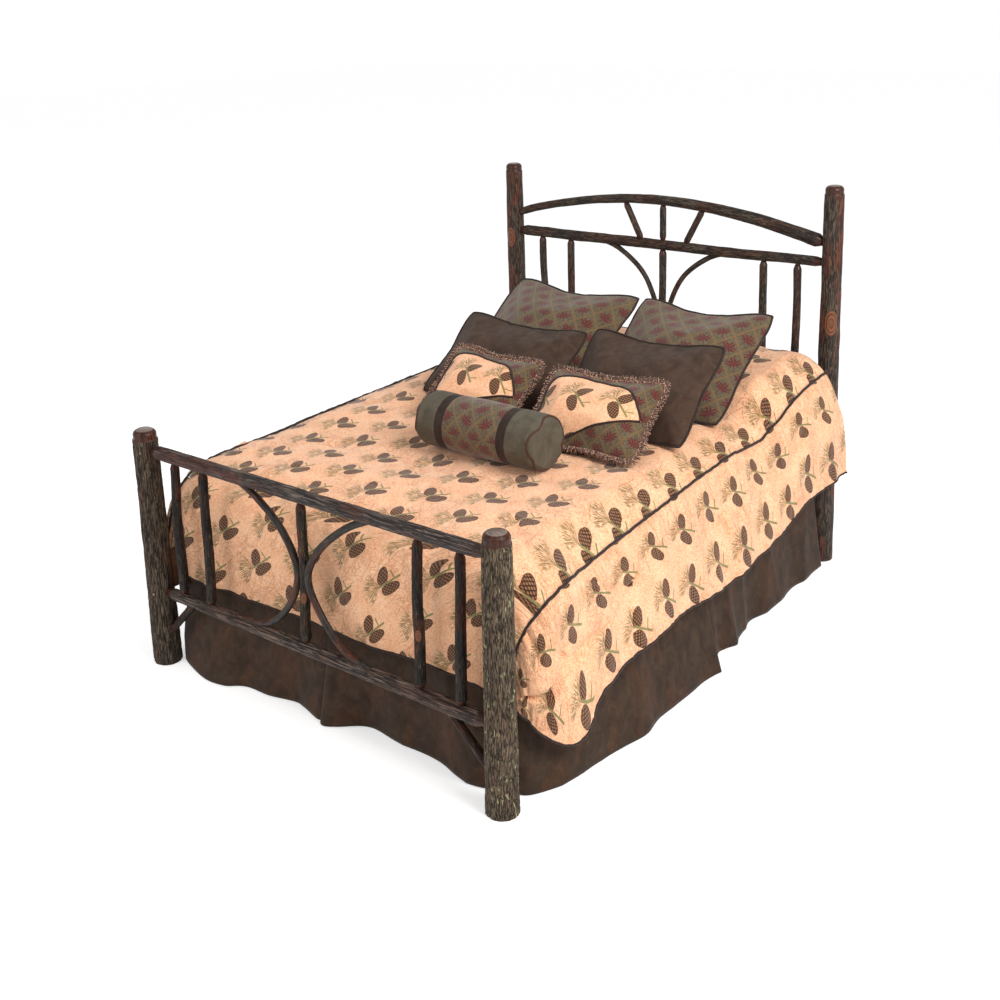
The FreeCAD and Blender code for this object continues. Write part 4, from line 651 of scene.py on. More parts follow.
# Ways the parts of a motif point, in degrees: first cone, twig, second cone, needles, side twig
PANEL_MOTIF = (111, 44, 40, 208, 142)
SIDE_MOTIF = (80, -30, -50, 145, 75)
TURNED_MOTIF = (38, -42, -62, 140, 12)


def cone_pattern(f, place, motif, drop, shift, step):
    """Pairs of fir cones on a needled twig, in half-drop columns. Gives the colour and the pile."""
    ground, height = heather(f, place, (245, 185, 142), (253, 216, 178), (218, 144, 102))
    x, y, _ = f.parts(place)
    column = f.maths("DIVIDE", f.minus(x, shift[0]), step[0])
    column_number = f.maths("FLOOR", column)
    row = f.maths("DIVIDE", f.minus(y, shift[1]), step[1])
    row = f.plus(row, f.times(f.maths("FLOORED_MODULO", column_number, 2.0), drop))
    local_x = f.times(f.minus(f.maths("FRACT", column), 0.46), step[0])
    local_y = f.times(f.minus(f.maths("FRACT", row), 0.46), step[1])
    local = f.node("CombineXYZ", (local_x, local_y, 0.0)).outputs[0]
    first_way, twig_way, second_way, needle_way, side_way = motif
    lean = math.radians(twig_way)
    away = f.node("VectorMath", (local,), operation="LENGTH").outputs["Value"]
    angle = f.maths("ARCTAN2", local_y, local_x)
    ray = f.speckle(f.node("CombineXYZ", (f.times(angle, 0.11), f.times(away, 0.35), 0.0)).outputs[0],
                    120, 1, 0.5)
    turned = f.magnitude(f.maths("WRAP", f.minus(angle, math.radians(needle_way)), math.pi, -math.pi))
    fan = f.times(f.span(turned, 1.20, 0.90), f.span(away, 0.080, 0.050))
    needles = f.times(f.times(f.span(ray, 0.44, 0.53), fan), f.span(away, 0.000, 0.004))
    along, across = moved(f, local, 0.0, 0.0, twig_way)
    twig = f.times(f.span(f.magnitude(across), 0.0046, 0.0032),
                   f.times(f.span(along, -0.006, -0.002), f.span(along, 0.092, 0.088)))
    side_along, side_across = moved(f, local, 0.064 * math.cos(lean), 0.064 * math.sin(lean), side_way)
    side_twig = f.times(f.span(f.magnitude(side_across), 0.0030, 0.0018),
                        f.times(f.span(side_along, -0.002, 0.0), f.span(side_along, 0.040, 0.034)))
    colour = f.mix(f.times(needles, 0.95), ground, paint(136, 116, 74))
    cover_all = 0.0
    spots = ((0.012 * math.cos(lean), 0.012 * math.sin(lean), first_way, 0.067, 0.041),
             (0.020 * math.sin(lean) + 0.004, -0.020 * math.cos(lean), second_way, 0.074, 0.042))
    for x0, y0, way, length, width in spots:
        cover, rim, scales = cone_shape(f, local, x0, y0, way, length, width)
        tint = f.mix(scales, paint(58, 36, 24), paint(150, 104, 70))
        tint = f.mix(f.times(rim, 0.55), tint, paint(72, 44, 31))
        colour = f.mix(cover, colour, tint)
        cover_all = f.maths("MAXIMUM", cover, cover_all)
    green = f.mix(f.speckle(place, 300, 2), paint(118, 110, 66), paint(156, 146, 94))
    colour = f.mix(f.maths("MAXIMUM", twig, side_twig), colour, green)
    return colour, f.plus(height, f.times(cover_all, 0.12))


def wrinkles(f, place, stretch, scale, reach):
    """Fine creases as a height from 0 to 1; stretch gives the way they run."""
    wave = f.speckle(f.stretched(place, stretch), scale, 2, 0.5, 0.6)
    crease = f.span(f.magnitude(f.minus(wave, 0.5)), 0.0, 0.028)
    gate = f.speckle(f.stretched(place, (1, 1, 1), shift=(7, 3, 0)), 5, 2, 0.5)
    gate = f.span(gate, reach, reach + 0.12)
    return f.minus(1.0, f.times(f.minus(1.0, crease), gate))


def cone_cloth(name, motif, drop, shift, step, gathers=None):
    """Peach chenille with fir cones. Gathers stand square to the seam that the map starts from. Creases and
    gathers are darkened in the colour: painted shade.
    """
    f = Finish(name)
    place = f.on_cloth()
    colour, pile = cone_pattern(f, place, motif, drop, shift, step)
    folds = f.times(wrinkles(f, place, (1, 0.35, 1), 22, 0.42),
                    wrinkles(f, place, (0.4, 1, 1), 30, 0.46))
    if gathers:
        near = wrinkles(f, place, gathers, 50, 0.30)
        down = f.magnitude(f.parts(place)[1])
        share = f.span(down, 0.30, 0.03)
        near = f.minus(1.0, f.times(f.minus(1.0, near), share))
        folds = f.times(folds, near)
    # Painted shade: the colour is multiplied darker along the creases and along the gathers by the seam.
    colour = f.mix(f.times(f.minus(1.0, folds), 0.5), colour, paint(226, 200, 180), "MULTIPLY")
    height = f.plus(f.times(pile, 0.6), f.times(folds, 0.7))
    return f.finish(colour, 0.92, height, 0.75, 0.004, Sheen_Weight=0.25, Sheen_Roughness=0.5,
                    Specular_IOR_Level=0.2)


def plain_cloth(name, base, light, dark, rough=0.9, sheen=0.2):
    f = Finish(name)
    colour, height = heather(f, f.on_cloth(), base, light, dark)
    return f.finish(colour, rough, height, 0.5, 0.0012, Sheen_Weight=sheen, Sheen_Roughness=0.5,
                    Specular_IOR_Level=0.2)


def suede(name, deep, body, pale, rust=0.0, where="cloth"):
    """Brushed suede with cloudy nap and rusty streaks."""
    f = Finish(name)
    place = f.on_cloth() if where == "cloth" else f.in_piece()
    nap = f.speckle(place, 18, 5, 0.62, 0.6)
    fine = f.speckle(place, 420, 4, 0.7)
    shade = f.maths("MULTIPLY_ADD", fine, 0.40, f.times(nap, 0.62))
    colour = f.ramp(shade, (0.3, paint(*deep)), (0.52, paint(*body)), (0.78, paint(*pale)))
    if rust:
        streak = f.speckle(f.stretched(place, (1, 0.5, 0.5)), 11, 6, 0.7, 0.8)
        grit = f.times(f.span(streak, 0.48, 0.66), f.span(fine, 0.42, 0.6))
        colour = f.mix(f.times(grit, rust), colour, paint(106, 64, 40))
    return f.finish(colour, 0.86, shade, 0.25, 0.001, Sheen_Weight=0.10, Sheen_Roughness=0.4,
                    Specular_IOR_Level=0.18)


def leaf_pattern(f, place, scale):
    """Maple leaves inside a gold-brown diamond lattice. Gives the colour and the height."""
    ground, height = heather(f, place, (92, 80, 60), (114, 100, 76), (64, 54, 42))
    wide, tall = 0.104 * scale, 0.130 * scale
    x, y, _ = f.parts(place)
    across, up = f.maths("DIVIDE", x, wide), f.maths("DIVIDE", y, tall)
    first, second = f.plus(across, up), f.minus(across, up)
    lines = []
    for way in (first, second):
        edge = f.magnitude(f.minus(f.maths("FRACT", way), 0.5))
        lines.append(f.span(edge, 0.448, 0.470))
    dash = f.span(f.speckle(place, 420, 1), 0.36, 0.5)
    lattice = f.times(f.maths("MAXIMUM", *lines), dash)
    a = f.minus(f.maths("FRACT", first), 0.5)
    b = f.minus(f.maths("FRACT", second), 0.5)
    leaf_x = f.times(f.plus(a, b), wide / 2)
    leaf_y = f.times(f.minus(a, b), tall / 2)
    tilt = f.maths("MULTIPLY_ADD", f.maths("FLOORED_MODULO", f.maths("FLOOR", first), 2.0), 0.9, -0.45)
    angle = f.plus(f.maths("ARCTAN2", leaf_y, leaf_x), tilt)
    away = f.maths("SQRT", f.plus(f.times(leaf_x, leaf_x), f.times(leaf_y, leaf_y)))
    fifth = f.times(f.minus(angle, math.pi / 2), 2.5)
    lobes = f.maths("POWER", f.magnitude(f.maths("COSINE", fifth)), 0.8)
    teeth = f.times(f.maths("COSINE", f.times(angle, 15)), 0.10)
    bottom = f.span(f.maths("SINE", angle), -1.0, -0.25, 0.42, 1.0)
    reach = f.plus(f.maths("MULTIPLY_ADD", lobes, 0.60, 0.42), teeth)
    outline = f.times(f.times(reach, bottom), 0.033 * scale)
    leaf = f.span(f.minus(away, outline), 0.0022, -0.0012)
    sideways = f.times(f.maths("SINE", f.minus(angle, math.pi / 2)), away)
    stem = f.times(f.span(f.magnitude(sideways), 0.0020, 0.0010),
                   f.times(f.span(f.maths("SINE", angle), 0.0, -0.3),
                           f.span(away, 0.036 * scale, 0.032 * scale)))
    vein = f.times(f.span(lobes, 0.93, 0.99), f.span(away, 0.002, 0.005))
    red = f.mix(f.speckle(place, 90, 3), paint(102, 44, 40), paint(74, 34, 33))
    red = f.mix(f.times(vein, 0.45), red, paint(124, 92, 60))
    colour = f.mix(f.times(lattice, 0.75), ground, paint(130, 94, 50))
    colour = f.mix(f.maths("MAXIMUM", leaf, stem), colour, red)
    return colour, f.plus(height, f.times(f.maths("MAXIMUM", leaf, lattice), 0.15))


def leaf_cloth(name, scale=1.0):
    """Olive jacquard with maple leaves."""
    f = Finish(name)
    colour, raised = leaf_pattern(f, f.on_cloth(), scale)
    return f.finish(colour, 0.85, raised, 0.5, 0.0012, Sheen_Weight=0.25, Sheen_Roughness=0.5,
                    Specular_IOR_Level=0.25)


def pieced_cloth(name):
    """The accent pillows' front: a fir cone panel let into the leaf cloth."""
    f = Finish(name)
    place = f.on_cloth()
    panel, pile = cone_pattern(f, place, TURNED_MOTIF, 0.0, (-0.152, -0.046), (0.172, 0.200))
    corner, raised = leaf_pattern(f, place, 0.86)
    inside = f.span(f.read("panel"), -0.001, 0.001)
    height = f.plus(f.times(inside, pile), f.times(f.minus(1.0, inside), raised))
    return f.finish(f.mix(inside, corner, panel), 0.88, height, 0.55, 0.0015, Sheen_Weight=0.25,
                    Sheen_Roughness=0.5, Specular_IOR_Level=0.22)


def fringe_finish(name):
    """Brush fringe: twisted yarns in dark brown, rust and tan."""
    f = Finish(name)
    place = f.in_piece()
    yarn = f.speckle(place, 210, 2, 0.6)
    colour = f.ramp(yarn, (0.40, paint(42, 28, 26)), (0.48, paint(92, 54, 46)),
                    (0.54, paint(150, 108, 86)), (0.62, paint(200, 156, 126)))
    return f.finish(colour, 0.8, yarn, 0.3, 0.001, Sheen_Weight=0.3, Sheen_Roughness=0.5,
                    Specular_IOR_Level=0.3)


cone_top = cone_cloth("cone_chenille_top", PANEL_MOTIF, 0.5, (0.150, 0.023), (0.194, 0.176))
cone_side = cone_cloth("cone_chenille_side", SIDE_MOTIF, 0.08, (-0.100, -0.222), (0.178, 0.205),
                       (1, 0.10, 1))
pieced_front = pieced_cloth("pieced_cone_and_leaf")
fringe_yarn = fringe_finish("brush_fringe_yarn")
piping_finish = plain_cloth("brown_piping", (50, 38, 34), (68, 54, 48), (30, 22, 20), 0.75, 0.1)
red_piping = plain_cloth("red_brown_piping", (74, 46, 38), (96, 64, 54), (48, 30, 26), 0.75, 0.1)
skirt_suede = suede("brown_suede_skirt", (38, 28, 22), (62, 48, 38), (86, 68, 54), rust=0.6)
sham_suede = suede("brown_suede_sham", (44, 33, 27), (70, 54, 44), (92, 74, 61), rust=0.3)
bolster_suede = suede("olive_suede", (64, 58, 48), (88, 81, 68), (110, 102, 86), where="piece")
band_suede = suede("dark_band", (34, 26, 23), (54, 42, 36), (72, 58, 50), where="piece")
leaf_jacquard = leaf_cloth("leaf_lattice")
leaf_jacquard_small = leaf_cloth("leaf_lattice_small", 0.86)
cotton = plain_cloth("white_cotton_cloth", (226, 222, 212), (238, 235, 228), (206, 200, 190), 0.9, 0.1)
ticking = plain_cloth("mattress_cloth", (222, 216, 204), (236, 232, 222), (200, 192, 178), 0.85, 0.1)
spring_cloth = plain_cloth("box_spring_cloth_weave", (196, 190, 178), (212, 207, 196), (174, 167, 154),
                           0.9, 0.1)


# Comforter: a main panel with a drop at the foot, and a side panel sewn to each edge of it.
# A station is the distance from the head end, down the middle of the main panel, in metres.

HEAD_EDGE = 1.03
LAST = 2.52
STATIONS = np.linspace(0, LAST, 253)


def guide(rows, reach=5):
    """A smooth line through rows of (station, x, y, z), read at STATIONS."""
    rows = np.array(rows, float)
    line = np.stack([np.interp(STATIONS, rows[:, 0], rows[:, i]) for i in range(1, rows.shape[1])],
                    axis=1)
    return soften(line, reach)


def read_guide(line, station):
    """Points of a guide at the given stations."""
    return np.stack([np.interp(station, STATIONS, line[:, i]) for i in range(line.shape[1])], axis=1)


MIDDLE_LINE = guide([(0, 0, 1.030, .938), (.10, 0, .93, .952), (.25, 0, .78, .955), (.38, 0, .65, .934),
                     (.47, 0, .56, .885), (.54, 0, .49, .836), (.60, 0, .43, .814), (.80, 0, .23, .808),
                     (1.2, 0, -.17, .806), (1.7, 0, -.67, .807), (1.95, 0, -.92, .802),
                     (2.03, 0, -.995, .788), (2.10, 0, -1.040, .748), (2.16, 0, -1.052, .69),
                     (2.30, 0, -1.056, .56), (LAST, 0, -1.058, .352)], 4)
RIGHT_PIPING = guide([(0, .85, 1.03, .873), (.18, .856, .85, .862),
                      (.30, .855, .73, .835), (.41, .853, .62, .79), (.56, .85, .47, .742),
                      (.80, .85, .23, .757), (1.03, .85, 0, .742), (1.33, .852, -.30, .715),
                      (1.58, .855, -.55, .695), (1.76, .864, -.73, .682), (1.86, .892, -.83, .694),
                      (1.95, .900, -.91, .688), (2.03, .888, -.975, .655), (2.12, .862, -1.020, .605),
                      (2.22, .838, -1.038, .54), (2.32, .818, -1.045, .475), (2.42, .802, -1.047, .41),
                      (LAST, .790, -1.048, .350)], 4)
LEFT_PIPING = guide([(0, -.80, 1.03, .868), (.18, -.80, .85, .862),
                     (.30, -.795, .73, .838), (.41, -.785, .62, .80), (.56, -.775, .47, .788),
                     (.80, -.770, .23, .786), (1.10, -.765, -.07, .780),
                     (1.40, -.755, -.37, .776), (1.60, -.745, -.57, .770), (1.74, -.730, -.71, .776),
                     (1.90, -.715, -.87, .782), (2.00, -.705, -.965, .776), (2.08, -.718, -1.015, .745),
                     (2.16, -.755, -1.036, .69), (2.26, -.802, -1.044, .60), (2.38, -.838, -1.047, .49),
                     (LAST, -.862, -1.048, .345)], 4)
RIGHT_TURN = guide([(0, .945, 1.03, .76), (.30, .945, .73, .75), (.50, .935, .53, .66),
                    (1.0, .932, .03, .62), (1.5, .930, -.47, .60), (1.8, .940, -.77, .58),
                    (1.95, .958, -.89, .56), (2.05, .955, -.965, .53), (2.15, .928, -1.018, .47),
                    (2.25, .890, -1.046, .42), (2.38, .840, -1.052, .38), (LAST, .795, -1.052, .345)], 6)
LEFT_TURN = guide([(0, -.905, 1.03, .78), (.40, -.905, .63, .76), (1.0, -.900, .03, .745),
                   (1.7, -.895, -.67, .735), (1.95, -.885, -.91, .73), (2.05, -.880, -.98, .70),
                   (2.15, -.870, -1.020, .63), (2.28, -.870, -1.044, .52), (2.40, -.874, -1.048, .43),
                   (LAST, -.866, -1.050, .345)], 6)
RIGHT_HEM = guide([(0, .972, 1.03, .462), (.07, .968, .957, .468), (.22, .962, .81, .45),
                   (.41, .958, .62, .43), (.685, .957, .345, .372), (1.005, .957, .025, .332),
                   (1.215, .955, -.185, .346), (1.42, .955, -.387, .349), (1.60, .957, -.58, .336),
                   (1.74, .957, -.715, .308), (1.80, .957, -.765, .300), (1.85, .958, -.80, .255),
                   (1.90, .962, -.845, .200), (1.96, .960, -.895, .172), (2.03, .945, -.945, .178),
                   (2.10, .918, -.985, .205), (2.18, .885, -1.020, .250), (2.28, .850, -1.043, .300),
                   (2.40, .815, -1.050, .335), (LAST, .790, -1.052, .346)], 3)
LEFT_HEM = guide([(0, -.945, 1.03, .46), (.40, -.935, .63, .41), (1.0, -.930, .03, .37),
                  (1.6, -.925, -.57, .345), (1.85, -.915, -.82, .31), (1.96, -.905, -.91, .285),
                  (2.08, -.893, -.985, .282), (2.2, -.890, -1.022, .290), (2.35, -.880, -1.040, .300),
                  (LAST, -.866, -1.050, .318)], 5)
# Hem of the foot drop, left to right: (place across the bed, height)
FOOT_HEM = np.array([(-.865, .318), (-.81, .333), (-.74, .345), (-.60, .343), (-.48, .353),
                     (-.38, .349), (-.15, .357), (.12, .349), (.35, .366), (.50, .377), (.62, .366),
                     (.70, .350), (.79, .346)])
DROP_START = 2.14
ROLL = 0.155


def across_panel(share, station):
    """The main panel: share runs from -1 at the left piping to 1 at the right."""
    middle = read_guide(MIDDLE_LINE, station)
    right = read_guide(RIGHT_PIPING, station)
    left = read_guide(LEFT_PIPING, station)
    edge = np.where((share > 0)[:, None], right, left)
    points = middle + (edge - middle) * np.clip((np.abs(share) - (1 - ROLL)) / ROLL, 0, 1)[:, None] ** 1.8
    points[:, 0] = edge[:, 0] * np.abs(share)
    below = np.clip((station - DROP_START) / (LAST - DROP_START), 0, 1)
    hem = np.interp(points[:, 0], FOOT_HEM[:, 0], FOOT_HEM[:, 1]) - MIDDLE_LINE[-1, 2]
    inside = 1 - np.clip((np.abs(share) - (1 - ROLL)) / ROLL, 0, 1) ** 2
    ruffle = 0.006 * lump(np.stack([points[:, 0], station * 0, station * 0], axis=1), (0.025, 1, 1), 41)
    points[:, 2] += (hem + ruffle * ease(points[:, 0], .45, .60)) * below * inside
    return points


def side_panel(side):
    """Gives the function that lays a side panel between its seam and its hem."""
    if side > 0:
        seam, turn, hem = RIGHT_PIPING, RIGHT_TURN, RIGHT_HEM
    else:
        seam, turn, hem = LEFT_PIPING, LEFT_TURN, LEFT_HEM

    def place(share, station):
        """The side panel: share runs from 0 at the piping to 1 at the hem."""
        first, bend, last = (read_guide(line, station) for line in (seam, turn, hem))
        share = share[:, None]
        return first * (1 - share) ** 2 + bend * 2 * share * (1 - share) + last * share ** 2
    return place


def puckers(distance, station, seed):
    """Small gathers that run square to a seam and die out away from it."""
    spots = np.stack([station, distance * 0.15, station * 0], axis=1)
    short = (0.0024 * lump(spots, (0.011, 1, 1), seed) + 0.0016 * lump(spots, (0.006, 1, 1), seed + 1))
    far = 0.0022 * lump(spots, (0.019, 1, 1), seed + 2)
    return short * np.exp(-distance / 0.05) + far * np.exp(-distance / 0.14)


def pillow_seat(along_bed):
    """Rise of the top under the square shams, the suede pillows and the small pillows."""
    rows = ((0.30, 0.10, 0.015), (0.06, 0.17, 0.025), (-0.30, 0.16, 0.010))
    return sum(rise * np.exp(-((along_bed - middle) / reach) ** 2) for middle, reach, rise in rows)


def tuft(flat, spot, depth, reach, folds, turn):
    """A stitched tuft: a dimple with folds that spread from it."""
    dx, dy = flat[:, 0] - spot[0], flat[:, 1] - spot[1]
    away = np.hypot(dx, dy)
    angle = np.arctan2(dy, dx) + turn
    spread = 0.25 + 0.75 * np.abs(np.cos(angle * folds / 2)) ** 3
    near = np.exp(-(away / reach) ** 1.2) * (1.15 - spread)
    return -depth * (near + 0.35 * np.exp(-(away / (2.6 * reach)) ** 2))


def groove(flat, path, width, depth, step=0.0):
    """A valley along a path, with the ground on its left raised by step."""
    total = np.zeros(len(flat))
    best = np.full(len(flat), 9.0)
    sign = np.zeros(len(flat))
    for start, end in zip(np.array(path[:-1], float), np.array(path[1:], float)):
        way = end - start
        length = np.linalg.norm(way)
        share = np.clip(((flat - start) @ way) / length ** 2, 0, 1)
        near = start + share[:, None] * way
        away = np.linalg.norm(flat - near, axis=1)
        closer = away < best
        turned = (way[0] * (flat[:, 1] - start[1]) - way[1] * (flat[:, 0] - start[0])) / length
        sign = np.where(closer, np.sign(turned), sign)
        best = np.minimum(best, away)
    total -= depth * np.exp(-(best / width) ** 2)
    if step:
        total += step * np.where(sign > 0, np.exp(-best / (width * 5)), 0) * ease(best, 0, width * 0.8)
    return total


def outward(points, rows, columns, way):
    """Normals of a grid of points, turned to face way."""
    shaped = points.reshape(rows, columns, 3)
    down = np.gradient(shaped, axis=0)
    over = np.gradient(shaped, axis=1)
    normal = unit(np.cross(over, down)).reshape(-1, 3)
    return np.where(((normal * way).sum(axis=1) < 0)[:, None], -normal, normal)


def surface_normals(points, across, along, columns, way):
    """Normals of a comforter panel's points, which come in any order, turned to face way."""
    order = np.lexsort((np.round(across * columns).astype(int), np.round(along * ROWS).astype(int)))
    normal = np.empty_like(points)
    normal[order] = outward(points[order], ROWS + 1, columns + 1, way)
    return normal


# Tufts of the main panel and of the side panels, in flat cloth: (across, station)
TOP_TUFTS = [(-.38, 1.62), (.02, 1.62), (.42, 1.62), (-.38, 1.12), (.02, 1.12),
             (.42, 1.12), (-.38, .62), (.42, .62), (-.42, 2.34), (-.02, 2.34), (.40, 2.34), (.50, 2.06),
             (-.28, 2.05), (.10, 2.07)]
SIDE_TUFTS = [(.21, .36), (.21, .955), (.21, 1.545), (.21, 1.99)]
# Folds as valleys: path in flat cloth, width, depth, and on the right panel the step up beside it
TOP_FOLDS = (([(.62, 1.80), (.78, 1.93), (.86, 1.98)], 0.014, 0.012),
             ([(.86, 2.00), (.70, 2.06), (.52, 2.18), (.40, 2.30)], 0.016, 0.008),
             ([(.30, .66), (.38, .60), (.52, .585)], 0.010, 0.006),
             ([(.70, .60), (.60, .52), (.42, .47)], 0.02, 0.010),
             ([(.80, .50), (.68, .44), (.50, .43)], 0.015, 0.006),)
RIGHT_FOLDS = (([(.02, 1.80), (.11, 1.72), (.20, 1.60)], 0.012, 0.009, 0.0),
               ([(.27, 1.80), (.25, 1.96), (.30, 2.10), (.30, 2.30)], 0.010, 0.020, -0.014),
               ([(.23, .955), (.33, .92), (.42, .93)], 0.012, 0.007, 0.0),
               ([(.22, 1.56), (.32, 1.60), (.42, 1.58)], 0.012, 0.008, 0.0),)
# Cells along a comforter panel, the same in all three so that their edges meet
ROWS = 290


def main_panel():
    """The comforter's top with its drop at the foot."""
    columns = 168

    def place(across, along):
        share, station = across * 2 - 1, along * LAST
        points = across_panel(share, station)
        normal = surface_normals(points, across, along, columns, (0, -0.3, 1))
        flat = np.stack([points[:, 0], station], axis=1)
        spots = np.stack([flat[:, 0], flat[:, 1], flat[:, 0] * 0], axis=1)
        from_edge = (1 - np.abs(share)) * 0.85
        on_drop = ease(station, 2.0, 2.2)
        height = 0.0075 * lump(spots, (0.30, 0.26, 1), 1) + 0.0045 * lump(spots, (0.12, 0.10, 1), 2)
        height += 0.0018 * lump(spots, (0.05, 0.028, 1), 3) + 0.0011 * lump(spots, (0.022, 0.05, 1), 4)
        height += on_drop * (0.006 * lump(spots, (0.16, 0.30, 1), 6)
                             + 0.003 * lump(spots, (0.05, 0.16, 1), 7))
        height += 0.9 * puckers(from_edge, station, 9)
        where_rippled = ease(lump(spots, (0.2, 0.2, 1), 22), -0.1, 0.5)
        height += 0.0016 * lump(spots, (0.16, 0.018, 1), 21) * where_rippled
        for spot in TOP_TUFTS:
            height += tuft(flat, spot, 0.010, 0.035, 4, spot[0] * 7)
        for path, width, depth in TOP_FOLDS:
            height += groove(flat, path, width, depth)
        height += pillow_seat(HEAD_EDGE - station) * ease(from_edge, 0.02, 0.20)
        height *= ease(from_edge, 0.0, 0.012)
        return points + normal * height[:, None]

    def cut(across, along):
        share, station = across * 2 - 1, along * LAST
        drop = np.clip(station - 2.05, 0, None)
        x = share * np.where(share > 0, .86, .76) + 0.30 * drop + 0.071 * ease(drop, 0, 0.08)
        return np.stack([x, HEAD_EDGE - station + 0.12 * drop], axis=1)

    return grid("comforter_main_panel", columns, ROWS, place, map_size=cut)


def hanging_panel(side, title):
    """A side panel: side is 1 for the right and -1 for the left."""
    base = side_panel(side)
    columns = 98
    middle = base(np.linspace(0, 1, 60), np.full(60, 1.0))
    drop_length = np.linalg.norm(np.diff(middle, axis=0), axis=1).sum()

    def place(across, along):
        station = along * LAST
        points = base(across, station)
        normal = surface_normals(points, across, along, columns, (side, -0.25, 0.3))
        down = across * drop_length
        flat = np.stack([down, station], axis=1)
        spots = np.stack([down, station, down * 0 + side * 3], axis=1)
        loose = ease(across, 0.1, 1.0)
        height = 0.007 * lump(spots, (0.20, 0.16, 1), 11)
        height += loose * 0.009 * lump(spots, (0.5, 0.11, 1), 12)
        fine = 0.003 * lump(spots, (0.12, 0.05, 1), 13)
        height += fine + 0.0020 * lump(spots, (0.13, 0.018, 1), 14)
        height += loose * 0.004 * lump(spots, (0.16, 0.045, 1), 15)
        height -= 0.0022 * np.exp(-(lump(spots, (0.3, 0.035, 1), 16) / 0.10) ** 2)
        height += 1.7 * puckers(down, station, 19)
        for spot in SIDE_TUFTS:
            height += tuft(flat, spot, 0.020, 0.045, 5, spot[1] * 5)
            stitch = [(spot[0] - 0.012, spot[1] - 0.030), (spot[0] + 0.012, spot[1] + 0.030)]
            height += groove(flat, stitch, 0.006, 0.012)
        for path, width, depth, step in RIGHT_FOLDS if side > 0 else ():
            height += groove(flat, path, width, depth, step)
        height *= ease(down, 0.0, 0.010)
        points = points + normal * height[:, None]
        behind_post = np.clip(-1.060 - points[:, 1], 0, None) * (np.abs(points[:, 0]) < 0.93)
        points[:, 1] += behind_post
        return points

    def cut(across, along):
        return np.stack([side * (HEAD_EDGE - along * LAST), -across * drop_length], axis=1)

    return grid(f"comforter_{title}_panel", columns, ROWS, place, map_size=cut)


def comforter():
    """The three panels with their wadding, right after the main one and left last."""
    panels = [main_panel(), hanging_panel(1, "right"), hanging_panel(-1, "left")]
    for panel in panels:
        thicken(panel, "wadding", 0.012, -1)
    ready(panels[0], cone_top, "comforter")
    for panel in panels[1:]:
        ready(panel, cone_side, "comforter")
    return panels


SEAM_CORD, PILLOW_CORD, THIN_CORD = 0.0052, 0.0045, 0.0042


def cord_tube(name, points, radius, finish, closed=False, around=8):
    """Piping: a thin round cord along points."""
    line = Course(np.vstack([points, points[:1]]) if closed else points, 2)
    count = len(line.points) - 1

    def place(across, along):
        index = np.round(along * count).astype(int)
        centre, side = line.points[index], line.side[index]
        other = np.cross(line.heading[index], side)
        angle = across * 2 * math.pi
        return centre + radius * (side * np.cos(angle)[:, None] + other * np.sin(angle)[:, None])

    def map_place(across, along):
        return np.stack([across * 2 * math.pi * radius, along * line.length], axis=1)

    piece = grid(name, around, count, place, seam=True, map_size=map_place)
    return ready(piece, finish)


def comforter_piping(panels):
    """Cords in the two seams, and round the hem of each panel."""
    main, right, left = panels
    steps = np.linspace(0.004, LAST - 0.004, 300)
    for side, title, panel in ((1, "right", right), (-1, "left", left)):
        seam = read_guide(RIGHT_PIPING if side > 0 else LEFT_PIPING, steps)
        wobble = 0.0015 * np.stack([lump(np.stack([steps, steps * 0, steps * 0 + k], axis=1),
                                         (0.02, 1, 1), 30 + k) for k in range(3)], axis=1)
        seam = seam + wobble + np.array([side * 0.001, 0, 0.003])
        cord_tube(f"comforter_piping_{title}", seam, SEAM_CORD, piping_finish, around=10)
        cord_tube(f"comforter_hem_{title}", panel_points(panel, ROWS + 1)[:, -1], THIN_CORD,
                  piping_finish)
    cord_tube("comforter_hem_foot", panel_points(main, ROWS + 1)[-1], THIN_CORD, piping_finish)


def panel_points(panel, rows):
    """Points of a panel in rows from the head end to the foot."""
    spots = read_points(panel.data)
    return spots.reshape(rows, -1, 3)


comforter_panels = comforter()
comforter_piping(comforter_panels)


# Pillows

def sewn_sheets(name, width, height, cells, thin):
    """Two sheets laid face to face, sewn round the edge and eased apart a little."""
    columns, rows = cells
    maker = bmesh.new()
    for face in (1, -1):
        def place(across, along, face=face):
            x, y = (across - 0.5) * width, (along - 0.5) * height
            crown = (1 - np.abs(2 * across - 1) ** 2.6) * (1 - np.abs(2 * along - 1) ** 2.6)
            crown = np.clip(crown, 0, 1) ** 0.6
            return np.stack([x, y, face * thin * crown], axis=1)

        def cut(across, along, face=face):
            return np.stack([face * (across - 0.5) * width, (along - 0.5) * height], axis=1)

        side = grid("sheet", columns, rows, place, map_size=cut)
        maker.from_mesh(side.data)
        bpy.data.objects.remove(side)
    bmesh.ops.remove_doubles(maker, verts=maker.verts, dist=1e-5)
    bmesh.ops.recalc_face_normals(maker, faces=maker.faces)
    mesh = bpy.data.meshes.new(name)
    maker.to_mesh(mesh)
    maker.free()
    mesh.update()
    return into_scene(name, mesh)


